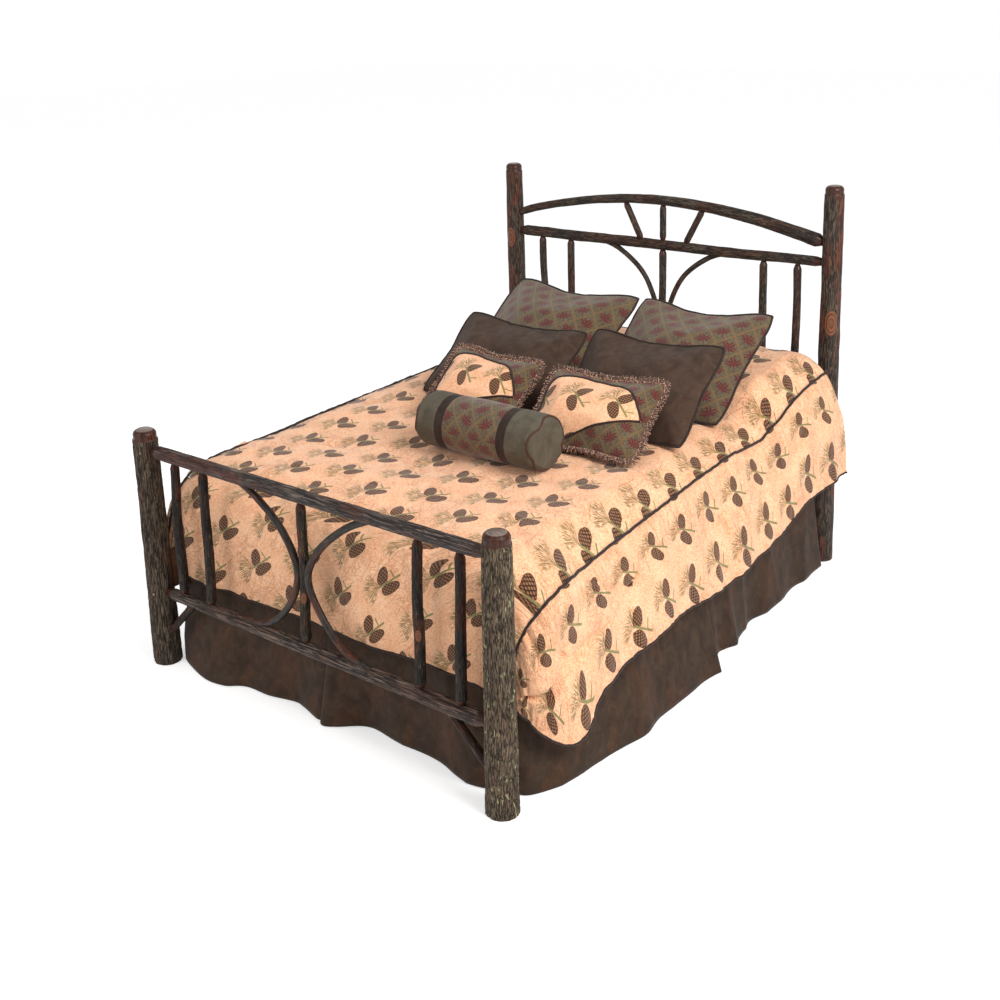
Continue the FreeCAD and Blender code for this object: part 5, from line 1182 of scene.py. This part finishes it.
def blow_up(piece, pressure):
    """Fills a closed cloth with air by simulation and keeps the result."""
    frames, stiffness, bend = 20, 12.0, 0.4
    cloth = piece.modifiers.new("filling", "CLOTH")
    settings = cloth.settings
    settings.quality = 5
    settings.mass = 0.3
    settings.tension_stiffness = settings.compression_stiffness = stiffness
    settings.shear_stiffness = stiffness * 0.6
    settings.bending_stiffness = bend
    settings.use_pressure = True
    settings.uniform_pressure_force = pressure
    settings.effector_weights.gravity = 0
    cloth.point_cache.frame_start, cloth.point_cache.frame_end = 1, frames
    scene = bpy.context.scene
    for number in range(1, frames + 1):
        scene.frame_set(number)
    seen = piece.evaluated_get(bpy.context.evaluated_depsgraph_get())
    points = read_points(seen.data).copy()
    piece.modifiers.remove(cloth)
    scene.frame_set(1)
    return points


def smoother(piece):
    """One subdivision, kept in the mesh."""
    rounding = piece.modifiers.new("rounding", "SUBSURF")
    rounding.levels = rounding.render_levels = 1
    seen = piece.evaluated_get(bpy.context.evaluated_depsgraph_get())
    mesh = bpy.data.meshes.new_from_object(seen)
    mesh.name = piece.name
    piece.modifiers.clear()
    piece.data = mesh


def seam_loop(width, height):
    """Points round the edge of a sewn pillow, as flat places."""
    half_w, half_h = width / 2, height / 2
    corners = [(-half_w, -half_h), (half_w, -half_h), (half_w, half_h), (-half_w, half_h)]
    points_a_side = 40
    points = []
    for start, end in zip(corners, corners[1:] + corners[:1]):
        share = np.linspace(0, 1, points_a_side, endpoint=False)[:, None]
        points.append(np.array(start) * (1 - share) + np.array(end) * share)
    return np.concatenate(points)


DRAW = 0.026


class Pillow:
    """A sewn and filled pillow, then leant back and set in its place."""

    def __init__(self, name, size, thickness, base, lean, yaw, roll, seed, cells=(54, 46), sag=0.0):
        width, height = size
        self.name = name
        self.size = size
        self.piece = sewn_sheets(name, width, height, cells, 0.006)
        flat = read_points(self.piece.data).copy()
        start = flat.copy()
        start[:, 2] += 0.0015 * lump(flat, (0.05, 0.05, 1), seed) * (np.abs(flat[:, 2]) > 1e-4)
        write_points(self.piece.data, start)
        points = blow_up(self.piece, 6.0)
        points[:, 2] *= thickness / (points[:, 2].max() - points[:, 2].min())
        drawn = points[:, :2] - flat[:, :2]
        points[:, :2] = flat[:, :2] + drawn * DRAW / max(DRAW, np.linalg.norm(drawn, axis=1).max())
        dents = 0.004 * lump(np.column_stack([flat[:, :2], flat[:, 0] * 0]), (0.16, 0.13, 1), seed + 4)
        points[:, 2] += dents * np.sign(flat[:, 2])
        self.flat = flat
        low_edge = ease(-flat[:, 1] / height, 0.30, 0.5)
        points[:, 2] *= 1 + 0.15 * low_edge * (np.abs(points[:, 2]) > 0.002)
        across = np.clip(2 * flat[:, 0] / width, -1, 1)
        up = np.clip(2 * flat[:, 1] / height, -1, 1)
        points[:, 0] *= 1 - 0.05 * np.abs(up) ** 7
        points[:, 1] *= 1 - 0.05 * np.abs(across) ** 7
        points[:, 1] -= sag * (1 - across ** 2) ** 2 * ease(up, -0.6, 1)
        points[:, 1] += height / 2
        self.matrix = (Matrix.Translation(base) @ Matrix.Rotation(math.radians(yaw), 4, "Z")
                       @ Matrix.Rotation(math.radians(90 - lean), 4, "X")
                       @ Matrix.Rotation(math.radians(roll), 4, "Z"))
        write_points(self.piece.data, self.placed(points))
        self.points = points
        smoother(self.piece)

    def placed(self, points):
        turn = np.array(self.matrix)
        return points @ turn[:3, :3].T + turn[:3, 3]

    def edge(self):
        """The seam, read off the finished pillow."""
        wanted = seam_loop(*self.size)
        on_edge = np.abs(self.flat[:, 2]) < 1e-6
        places, shaped = self.flat[on_edge], self.points[on_edge]
        nearest = [np.argmin(((places[:, :2] - spot) ** 2).sum(axis=1)) for spot in wanted]
        keep = [i for n, i in enumerate(nearest) if n == 0 or i != nearest[n - 1]]
        return self.placed(shaped[keep])

    def finish(self, finish, slot, node, piping=None):
        ready(self.piece, finish, node)
        if piping:
            cord_tube(f"{self.name}_piping", self.edge(), PILLOW_CORD, piping, closed=True)
        return self

    def front(self):
        """Cloth places of the front's corners, and where they are in the room."""
        mesh = self.piece.data
        count = len(mesh.loops) // 2
        spots = np.empty(len(mesh.loops) * 2)
        mesh.uv_layers["cut"].data.foreach_get("uv", spots)
        return spots.reshape(-1, 2)[:count], read_points(mesh)[read_corners(mesh)[:count]]

    def on_front(self, path, lift):
        """Points on the front face over a path of cloth places."""
        spots, points = self.front()
        out = np.array(self.matrix)[:3, 2]
        found = []
        for spot in path:
            away = ((spots - spot) ** 2).sum(axis=1)
            nearest = np.argpartition(away, 12)[:12]
            weight = 1 / (away[nearest] + 2e-5)
            found.append((points[nearest] * weight[:, None]).sum(axis=0) / weight.sum() + out * lift)
        return soften(np.array(found), 2)


EURO_LEFT = Pillow("leaf_sham_left", (.680, .620), .19, (-.228, .276, .830), 57, 0, -2, 101, sag=.030)
EURO_RIGHT = Pillow("leaf_sham_right", (.620, .600), .19, (.461, .281, .830), 56, 3, -1, 117, sag=.034)
for piece, node in ((EURO_LEFT, "euro_sham_left"), (EURO_RIGHT, "euro_sham_right")):
    piece.finish(leaf_jacquard, "leaf_lattice_cloth", node, piping_finish)
SUEDE_LEFT = Pillow("suede_pillow_left", (.660, .450), .17, (-.168, -.004, .830), 50, -4, 0, 131,
                    sag=.016)
SUEDE_RIGHT = Pillow("suede_pillow_right", (.620, .455), .17, (.484, .002, .828), 46, -4, 2, 147,
                     sag=.016)
for piece, node in ((SUEDE_LEFT, "suede_sham_left"), (SUEDE_RIGHT, "suede_sham_right")):
    piece.finish(sham_suede, "brown_suede", node, band_suede)
ACCENT_LEFT = Pillow("accent_cushion_left", (.460, .335), .125, (-.087, -.199, .832), 48, -3, -1, 151,
                     (48, 38))
ACCENT_RIGHT = Pillow("accent_cushion_right", (.500, .352), .125, (.470, -.222, .830), 51, 2, 2, 163,
                      (48, 38))

# Edge of the fir cone panel on an accent pillow, in half widths and half heights from its middle
ARCH_SEAM = [(-.97, 0), (-.97, .30), (-.93, .55), (-.80, .70), (-.62, .79), (-.42, .84), (-.20, .84),
             (.02, .80), (.20, .745), (.36, .685), (.52, .56), (.65, .385), (.78, .17), (.89, -.05)]
LOW_SEAM = [(.89, -.05), (.72, -.14), (.57, -.24), (.40, -.34), (.22, -.44), (.07, -.56), (-.08, -.69),
            (-.28, -.85), (-.48, -.985)]
SIDE_SEAM = [(-.48, -.985), (-.62, -.82), (-.76, -.58), (-.88, -.30), (-.97, 0)]


def seam_distance(spots, loop):
    """How far inside a closed loop each place lies; outside it is negative."""
    best = np.full(len(spots), 9.0)
    inside = np.zeros(len(spots), bool)
    for start, end in zip(loop, np.roll(loop, -1, axis=0)):
        way = end - start
        share = np.clip(((spots - start) @ way) / max(way @ way, 1e-12), 0, 1)
        best = np.minimum(best, np.linalg.norm(spots - start - share[:, None] * way, axis=1))
        crosses = (start[1] > spots[:, 1]) != (end[1] > spots[:, 1])
        reach = start[0] + (spots[:, 1] - start[1]) * way[0] / (way[1] if way[1] else 1e-9)
        inside ^= crosses & (spots[:, 0] < reach)
    return np.where(inside, best, -best)


def accent(pillow, node):
    """Pieces the front of an accent pillow and pipes the seams."""
    half = np.array(pillow.size) / 2
    loop = np.array(ARCH_SEAM + LOW_SEAM[1:] + SIDE_SEAM[1:-1]) * half
    pillow.finish(pieced_front, "pine_cone_chenille", node)
    mesh = pillow.piece.data
    spots, _ = pillow.front()
    panel = np.full(len(mesh.loops), -1.0)
    panel[:len(spots)] = seam_distance(spots, loop)
    layer = mesh.attributes.new("panel", "FLOAT", "CORNER")
    layer.data.foreach_set("value", panel)
    for title, seam in (("arch", ARCH_SEAM), ("low", LOW_SEAM), ("side", SIDE_SEAM)):
        path = Course([(x * half[0], y * half[1], 0) for x, y in seam], 6).points[:, :2]
        cord_tube(f"{pillow.name}_{title}_piping", pillow.on_front(path, 0.0015), THIN_CORD,
                  piping_finish)


def yarn(number):
    """One twisted yarn of the fringe, standing up from the origin."""
    line = Course([(0, 0, 0), (0.0012 * math.cos(number), 0.0012 * math.sin(number), 0.008),
                   (0.0026 * math.cos(number + 1.4), 0.0026 * math.sin(number + 1.4), 0.016),
                   (0.0034 * math.cos(number + 2.6), 0.0034 * math.sin(number + 2.6), 0.023)], 2)
    count = len(line.points) - 1

    def place(across, along):
        index = np.round(along * count).astype(int)
        side = line.side[index]
        other = np.cross(line.heading[index], side)
        angle = across * 2 * math.pi + along * 3
        girth = (0.0026 - 0.0006 * along) * (along < 0.999)
        return line.points[index] + girth[:, None] * (side * np.cos(angle)[:, None]
                                                      + other * np.sin(angle)[:, None])

    piece = grid("yarn", 4, count, place, seam=True)
    mesh = piece.data
    bpy.data.objects.remove(piece)
    return mesh


def fringe(pillow, node, seed):
    """Brush fringe round an accent pillow: a braid and three rows of yarns that fan out from the seam."""
    edge = pillow.edge()
    line = Course(np.vstack([edge, edge[:1]]), 2)
    middle = edge.mean(axis=0)
    out = np.array(pillow.matrix)[:3, 2]
    yarns = [yarn(number) for number in range(9)]
    maker = bmesh.new()
    count = 780
    place, _, _ = line.at(np.linspace(0, line.length, count, endpoint=False))
    ahead, _, _ = line.at((np.linspace(0, line.length, count, endpoint=False) + 0.004) % line.length)
    random = lump(np.stack([np.arange(count) * 0.731, np.zeros(count), np.zeros(count)], axis=1), 1, seed)
    for number in range(count):
        heading = unit(ahead[number] - place[number])
        away = np.cross(heading, out)
        away = away if away @ (place[number] - middle) > 0 else -away
        tip = unit(away + out * (0.45 * ((number % 3) - 1) + 0.25 * random[number])
                   + heading * (0.25 + 0.35 * random[(number * 7) % count]))
        turn = Vector(tip).to_track_quat("Z", "Y").to_matrix().to_4x4()
        size = 0.85 + 0.3 * abs(random[(number * 3) % count])
        setting = Matrix.Translation(place[number] - away * 0.001) @ turn @ Matrix.Scale(size, 4)
        mesh = yarns[number % 9]
        mesh.transform(setting)
        maker.from_mesh(mesh)
        mesh.transform(setting.inverted())
    mesh = bpy.data.meshes.new(f"{pillow.name}_fringe")
    maker.to_mesh(mesh)
    maker.free()
    ready(into_scene(mesh.name, mesh), fringe_yarn, node)
    cord_tube(f"{pillow.name}_braid", edge, THIN_CORD, fringe_yarn, closed=True)


for piece, title, seed in ((ACCENT_LEFT, "left", 5), (ACCENT_RIGHT, "right", 9)):
    accent(piece, f"accent_pillow_{title}")
    fringe(piece, f"accent_fringe_{title}", seed)


# Bolster

BOLSTER = dict(start=(-.064, -.384, .917), end=(.486, -.390, .917), radius=.104)


def bolster():
    """A round cushion in three cloths, with gathered ends and piping round them."""
    start, end = np.array(BOLSTER["start"]), np.array(BOLSTER["end"])
    radius = BOLSTER["radius"]
    length = np.linalg.norm(end - start)
    heading = (end - start) / length
    side = np.cross(heading, [0, 0, 1])
    side /= np.linalg.norm(side)
    up = np.cross(side, heading)
    rows, around = 150, 96
    profile = np.array([(0, 0), (.0, .55), (.004, .80), (.012, .93), (.026, 1),
                        (.10, 1.0), (.106, .985), (.142, .985), (.15, 1.0), (.5 * length, 1.02),
                        (length - .163, 1.0), (length - .157, .985), (length - .122, .985),
                        (length - .115, 1.0), (length - .026, 1), (length - .012, .93),
                        (length - .004, .82), (length, .55), (length, 0)])
    steps = np.concatenate([[0],
                            np.cumsum(np.linalg.norm(np.diff(profile * [1, radius], axis=0), axis=1))])

    def place(across, along):
        way = along * steps[-1]
        distance = np.interp(way, steps, profile[:, 0])
        girth = np.interp(way, steps, profile[:, 1]) * radius
        angle = across * 2 * math.pi
        grain = np.stack([np.cos(angle) * radius, np.sin(angle) * radius, distance], axis=1)
        on_side = np.clip(girth / radius, 0, 1)
        girth = girth + on_side * (0.003 * lump(grain, (0.07, 0.07, 0.06), 3)
                                   + 0.0012 * lump(grain, 0.03, 4))
        bottom = np.clip(-np.sin(angle) - 0.55, 0, 1)
        girth = girth * (1 - 0.10 * bottom)
        dish = 0.006 * (1 - np.clip(girth / (radius * 0.8), 0, 1) ** 2)
        distance = distance + np.where(distance < length / 2, dish, -dish)
        return (start + heading * distance[:, None] + side * (np.cos(angle) * girth)[:, None]
                + up * (np.sin(angle) * girth)[:, None])

    def cut(across, along):
        way = along * steps[-1]
        distance = np.interp(way, steps, profile[:, 0])
        return np.stack([distance + (way - distance) * 0.2, across * 2 * math.pi * radius], axis=1)

    piece = grid("bolster_roll", around, rows, place, seam=True, map_size=cut)
    ready(piece, bolster_suede, "bolster")
    piece.data.materials.append(band_suede)
    piece.data.materials.append(leaf_jacquard_small)
    for face in piece.data.polygons:
        distance = float((np.array(face.center) - start) @ heading)
        if 0.105 < distance < length - 0.121:
            face.material_index = 1
        if 0.144 < distance < length - 0.160:
            face.material_index = 2
    for title, centre, way in (("left", start, -1), ("right", end, 1)):
        turn = np.linspace(0, 2 * math.pi, 64, endpoint=False)
        inset = 0.012 + 0.005 * np.sin(3 * turn + 1) + 0.004 * np.sin(5 * turn)
        girth = np.interp(inset, profile[:5, 0] + np.arange(5) * 1e-6, profile[:5, 1])
        ring = radius * (girth + 0.012) * (1 - 0.10 * np.clip(-np.sin(turn) - 0.55, 0, 1))
        loop = (centre - heading * (way * inset)[:, None] + side * (np.cos(turn) * ring)[:, None]
                + up * (np.sin(turn) * ring)[:, None])
        cord_tube(f"bolster_piping_{title}", loop, THIN_CORD, red_piping, closed=True)


bolster()


# Skirt: level of its top, level of its hem, and the share of its drop that stands above the ledge

SKIRT_TOP, SKIRT_HEM, LEDGE_SHARE = 0.545, 0.004, 0.16


def skirt_panel(name, top, ledge, hem, seed, node):
    """A hanging panel: top, ledge and hem are rows of points along it, from one end to the other."""
    top, ledge, hem = (Course(points, 30) for points in (top, ledge, hem))

    def place(across, along):
        first, _, _ = top.at(across * top.length)
        bend, _, _ = ledge.at(across * ledge.length)
        last, _, _ = hem.at(across * hem.length)
        down = along[:, None]
        upper = np.clip(down / LEDGE_SHARE, 0, 1)
        lower = np.clip((down - LEDGE_SHARE) / (1 - LEDGE_SHARE), 0, 1)
        points = first * (1 - upper) + bend * upper
        points = points + (last - bend) * lower ** 1.25 * (down > LEDGE_SHARE)
        run = across * hem.length
        heading = unit(np.gradient(hem.points, axis=0))
        over = np.stack([np.interp(across * hem.length, hem.distance, heading[:, i]) for i in range(3)],
                        axis=1)
        out = unit(np.cross(over, [0, 0, 1]))
        out = np.where(((out * last).sum(axis=1) < 0)[:, None], -out, out)
        spots = np.stack([run, along * 0.5, run * 0], axis=1)
        slanted = np.stack([run + along * 0.16, along * 0.5, run * 0 + 4], axis=1)
        crease = 0.6 - np.abs(lump(spots, (0.26, 0.9, 1), seed)) * 2
        sharp = 0.4 - np.abs(lump(slanted, (0.20, 0.45, 1), seed + 3)) * 2
        fine = lump(spots, (0.11, 0.35, 1), seed + 1)
        swing = (0.010 * crease + 0.008 * sharp + 0.002 * fine) * ease(along, 0.1, 0.95)
        points = points + out * swing[:, None]
        points[:, 2] = np.maximum(points[:, 2], 0.002)
        return points

    def cut(across, along):
        return np.stack([across * hem.length, along * 0.56], axis=1)

    piece = grid(name, 150, 44, place, map_size=cut)
    thicken(piece, "cloth_thickness", 0.0022)
    ready(piece, skirt_suede, node)
    return piece


def side_skirt(side, title):
    """Two panels down one long side, lapped in the middle: hems are (place along the bed, reach out)."""
    node = f"skirt_{title}"
    x = side * 0.764
    ledge = side * 0.816
    front_hem = [(-1.045, .800), (-1.015, .850), (-.93, .885), (-.85, .905), (-.78, .912), (-.71, .925),
                 (-.60, .950), (-.50, .962), (-.38, .940), (-.20, .940), (-.10, .945), (.002, .962)]
    back_hem = [(-.03, .900), (.11, .882), (.16, .900), (.217, .925), (.28, .900), (.399, .868),
                (.52, .880), (.64, .870), (.78, .858), (.90, .868), (1.04, .868)]
    for part, hem in (("front", front_hem), ("back", back_hem)):
        low, high = hem[0][0], hem[-1][0]
        top_low, top_high = max(low, -1.0), min(high, 1.0) if part == "back" else 0.04
        levels = np.linspace(top_low, top_high, len(hem))
        skirt_panel(f"skirt_{title}_{part}", [(x, y, SKIRT_TOP) for y in levels],
                    [(ledge, y, 0.462) for y in levels], [(side * out, y, SKIRT_HEM) for y, out in hem],
                    200 + len(title) * 7 + len(hem), node)


side_skirt(1, "right")
side_skirt(-1, "left")
FOOT_LEFT = [(-.800, -1.062), (-.74, -1.100), (-.59, -1.145), (-.49, -1.140), (-.41, -1.105),
             (-.30, -1.100), (-.16, -1.055), (-.03, -1.095), (.012, -1.075)]
FOOT_RIGHT = [(-.028, -1.062), (.01, -1.105), (.06, -1.085), (.16, -1.030), (.29, -1.040),
              (.49, -1.045), (.60, -1.070), (.70, -1.075), (.78, -1.045), (.845, -1.000)]
for part, hem in (("left", FOOT_LEFT), ("right", FOOT_RIGHT)):
    levels = np.linspace(-.755 if part == "left" else -.020, .020 if part == "left" else .755, len(hem))
    skirt_panel(f"skirt_foot_{part}", [(x, -1.018, SKIRT_TOP) for x in levels],
                [(x, -1.024, 0.45) for x in levels], [(x, y, SKIRT_HEM) for x, y in hem],
                260 + len(hem), "skirt_foot")


def deck():
    """The flat cloth that lies between the box spring and the mattress and holds the skirt."""
    wide, long, level = 1.500, 2.010, 0.5462

    def place(across, along):
        x, y = (across - 0.5) * wide, (along - 0.5) * long
        spots = np.stack([x, y, x * 0], axis=1)
        ripple = 0.0002 * lump(spots, (0.06, 0.3, 1), 3)
        return np.stack([x, y, level + ripple], axis=1)

    piece = grid("skirt_deck_cloth", 60, 80, place, map_size=(wide, long))
    thicken(piece, "cloth_thickness", 0.0012)
    ready(piece, cotton, "skirt_deck")


deck()


# Mattress, box spring and sleeping pillows

def bedding_slab(name, node, low, high, roundness, soft, finish):
    """A mattress or box spring: a rounded block with its two edge cords."""
    half_x, half_y, corner = 0.762, 1.016, 0.06
    maker = bmesh.new()
    bmesh.ops.create_cube(maker, size=1)
    bmesh.ops.scale(maker, vec=(half_x * 2, half_y * 2, high - low), verts=maker.verts)
    bmesh.ops.translate(maker, vec=(0, 0, (low + high) / 2), verts=maker.verts)
    upright = [e for e in maker.edges if abs(e.verts[0].co.z - e.verts[1].co.z) > 0.05]
    bmesh.ops.bevel(maker, geom=upright, offset=corner, offset_type="OFFSET", segments=6, profile=0.5,
                    affect="EDGES", material=-1)
    level_edges = [e for e in maker.edges if abs(e.verts[0].co.z - e.verts[1].co.z) < 1e-5]
    flats = [e for e in level_edges if len(e.link_faces) == 2
             and abs(e.link_faces[0].normal.z - e.link_faces[1].normal.z) > 0.5]
    bmesh.ops.bevel(maker, geom=flats, offset=roundness, offset_type="OFFSET", segments=4, profile=0.5,
                    affect="EDGES", material=-1)
    for cut in np.linspace(-half_x + 0.1, half_x - 0.1, 12):
        bmesh.ops.bisect_plane(maker, geom=maker.verts[:] + maker.edges[:] + maker.faces[:],
                               plane_co=(cut, 0, 0), plane_no=(1, 0, 0))
    for cut in np.linspace(-half_y + 0.1, half_y - 0.1, 16):
        bmesh.ops.bisect_plane(maker, geom=maker.verts[:] + maker.edges[:] + maker.faces[:],
                               plane_co=(0, cut, 0), plane_no=(0, 1, 0))
    mesh = bpy.data.meshes.new(name)
    maker.to_mesh(mesh)
    maker.free()
    points = read_points(mesh)
    if soft:
        edge = np.maximum(np.abs(points[:, 0]) / half_x, np.abs(points[:, 1]) / half_y)
        points[:, 2] -= soft * ease(edge, 0.86, 1.0) * (points[:, 2] > (low + high) / 2 + 0.05)
        write_points(mesh, points)
    layer = mesh.uv_layers.new(name="cut")
    spread = np.stack([points[:, 0] + points[:, 2] * 0.7, points[:, 1] + points[:, 2] * 0.7], axis=1)
    layer.data.foreach_set("uv", spread[read_corners(mesh)].ravel())
    piece = into_scene(name, mesh)
    for face in mesh.polygons:
        face.use_smooth = True
    ready(piece, finish, node)
    for title, level in (("low", low + roundness * 0.8), ("high", high - roundness * 0.8 - soft)):
        turn = []
        for sign_x, sign_y, first in ((1, 1, 0), (-1, 1, 90), (-1, -1, 180), (1, -1, 270)):
            for angle in np.radians(np.linspace(first, first + 90, 7)):
                turn.append((sign_x * (half_x - corner) + 0.0595 * math.cos(angle),
                             sign_y * (half_y - corner) + 0.0595 * math.sin(angle), level))
        loop = np.array(turn + turn[:1])
        run = np.append(0, np.cumsum(np.linalg.norm(np.diff(loop, axis=0), axis=1)))
        even = np.arange(0, run[-1] - 0.01, 0.02)
        path = np.stack([np.interp(even, run, loop[:, axis]) for axis in range(3)], axis=1)
        cord_tube(f"{name}_{title}_cord", path, 0.004, finish, closed=True, around=6)
    return piece


bedding_slab("sprung_mattress", "mattress", 0.547, 0.777, 0.024, 0.018, ticking)
bedding_slab("spring_box", "box_spring", 0.3652, 0.545, 0.014, 0.0, spring_cloth)
for side, title in ((-1, "left"), (1, "right")):
    sleeper = Pillow(f"sleeping_cushion_{title}", (.690, .450), .128, (side * .360, .552, .842), 90, 0, 0,
                     171 + side, (44, 34))
    sleeper.finish(cotton, "white_cotton", f"sleeping_pillow_{title}")


# Hidden frame: the CAD pieces keep their shape and get their wood, steel and felt

def planed_pine():
    """Pine with a dark walnut stain and long grain."""
    f = Finish("planed_pine")
    place = f.in_piece()
    figure = f.speckle(f.stretched(place, (1, 0.06, 1)), 60, 4, 0.6, 0.8)
    fibre = f.speckle(f.stretched(place, (1, 0.03, 1)), 420, 3, 0.6)
    shade = f.maths("MULTIPLY_ADD", fibre, 0.35, f.times(figure, 0.65))
    colour = f.ramp(shade, (0.3, paint(50, 33, 22)), (0.5, paint(74, 49, 32)), (0.72, paint(98, 67, 44)))
    return f.finish(colour, 0.5, shade, 0.2, 0.0008, Specular_IOR_Level=0.4)


def galvanised_steel():
    f = Finish("galvanised_steel")
    place = f.in_piece()
    spangle = f.speckle(place, 240, 2, 0.5)
    colour = f.ramp(spangle, (0.3, paint(150, 154, 156)), (0.7, paint(188, 191, 192)))
    return f.finish(colour, f.maths("MULTIPLY_ADD", spangle, 0.2, 0.28), Metallic=1.0)


def black_felt():
    f = Finish("black_felt")
    place = f.in_piece()
    nap = f.speckle(place, 700, 4, 0.7)
    colour = f.ramp(nap, (0.3, paint(26, 25, 24)), (0.7, paint(52, 50, 48)))
    return f.finish(colour, 0.95, nap, 0.4, 0.0006, Specular_IOR_Level=0.2)


def dress_frame():
    """Puts pine, steel, felt and oak on the pieces that the CAD draws as they are."""
    pine, steel, felt = planed_pine(), galvanised_steel(), black_felt()
    finishes = {
        pine: ("side_rail_left", "side_rail_right", "slat_cleat_left", "slat_cleat_right", "slats",
               "centre_beam", "centre_legs"),
        steel: ("plate_screws", "post_slot_plates", "side_rail_hook_plates"),
        felt: ("leg_shoes",),
        oak_finish: ("rail_tenon_pins",)}
    for finish, nodes in finishes.items():
        for node in nodes:
            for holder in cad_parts[node].material_slots:
                holder.material = finish


dress_frame()


# Room: floor, lamps and camera

def floor_finish():
    """Pale floor that shows as plain white paper and keeps the bed's shadow."""
    f = Finish("floor_paper")
    path = f.node("LightPath")
    seen = f.maths("MAXIMUM", path.outputs["Is Camera Ray"],
                   f.maths("MAXIMUM", path.outputs["Is Glossy Ray"], path.outputs["Is Transmission Ray"]))
    f.put(f.shader.inputs["Emission Color"], (1, 1, 1, 1))
    f.put(f.shader.inputs["Emission Strength"], f.times(seen, 0.46))
    return f.finish(paint(238, 238, 238), 0.9, Specular_IOR_Level=0.1)


def floor():
    def place(across, along):
        return np.stack([(across - 0.5) * 60, (along - 0.5) * 60, across * 0], axis=1)
    piece = grid("floor", 6, 6, place)
    piece.data.materials.append(floor_finish())


def lamp(name, place, aim, size, watts):
    """A square lamp at a place, turned to its aim."""
    light = bpy.data.lights.new(name, "AREA")
    light.size = size
    light.energy = watts
    holder = into_scene(name, light)
    holder.location = place
    holder.rotation_euler = (Vector(aim) - Vector(place)).to_track_quat("-Z", "Y").to_euler()


def room():
    """White surroundings that light the bed evenly, and two lamps."""
    world = bpy.data.worlds.new("studio")
    world.use_nodes = True
    back = world.node_tree.nodes["Background"]
    path = world.node_tree.nodes.new("ShaderNodeLightPath")
    seen = world.node_tree.nodes.new("ShaderNodeMath")
    seen.operation = "MAXIMUM"
    world.node_tree.links.new(path.outputs["Is Camera Ray"], seen.inputs[0])
    world.node_tree.links.new(path.outputs["Is Transmission Ray"], seen.inputs[1])
    level = world.node_tree.nodes.new("ShaderNodeMapRange")
    level.inputs["To Min"].default_value = 0.62
    level.inputs["To Max"].default_value = 1.0
    world.node_tree.links.new(seen.outputs[0], level.inputs["Value"])
    world.node_tree.links.new(level.outputs[0], back.inputs["Strength"])
    back.inputs["Color"].default_value = (1, 1, 1, 1)
    bpy.context.scene.world = world
    lamp("key_lamp", (4.6, -1.0, 4.4), (0.2, 0, 0.6), 2.6, 260)
    lamp("front_lamp", (-1.5, -5.0, 3.2), (0, 0, 0.6), 2.6, 60)


def camera():
    """The lens and the stand, as solved from the straight lines of the bed."""
    lens = bpy.data.cameras.new("camera")
    lens.sensor_width = 36
    lens.lens = 46.34
    lens.shift_y = -0.1
    lens.clip_end = 200
    holder = into_scene("camera", lens)
    azimuth, elevation, roll = (math.radians(a) for a in (39.1608, 17.8171, -2.0237))
    ahead = Vector((-math.sin(azimuth) * math.cos(elevation), math.cos(azimuth) * math.cos(elevation),
                    -math.sin(elevation)))
    right = Vector((math.cos(azimuth), math.sin(azimuth), 0))
    up = right.cross(ahead)
    across = right * math.cos(roll) + up * math.sin(roll)
    upright = up * math.cos(roll) - right * math.sin(roll)
    turn = Matrix((across, upright, -ahead)).transposed()
    holder.matrix_world = Matrix.Translation((3.005, -3.7431, 2.4328)) @ turn.to_4x4()
    bpy.context.scene.camera = holder


floor()
room()
camera()
bpy.context.scene.view_settings.view_transform = "Standard"
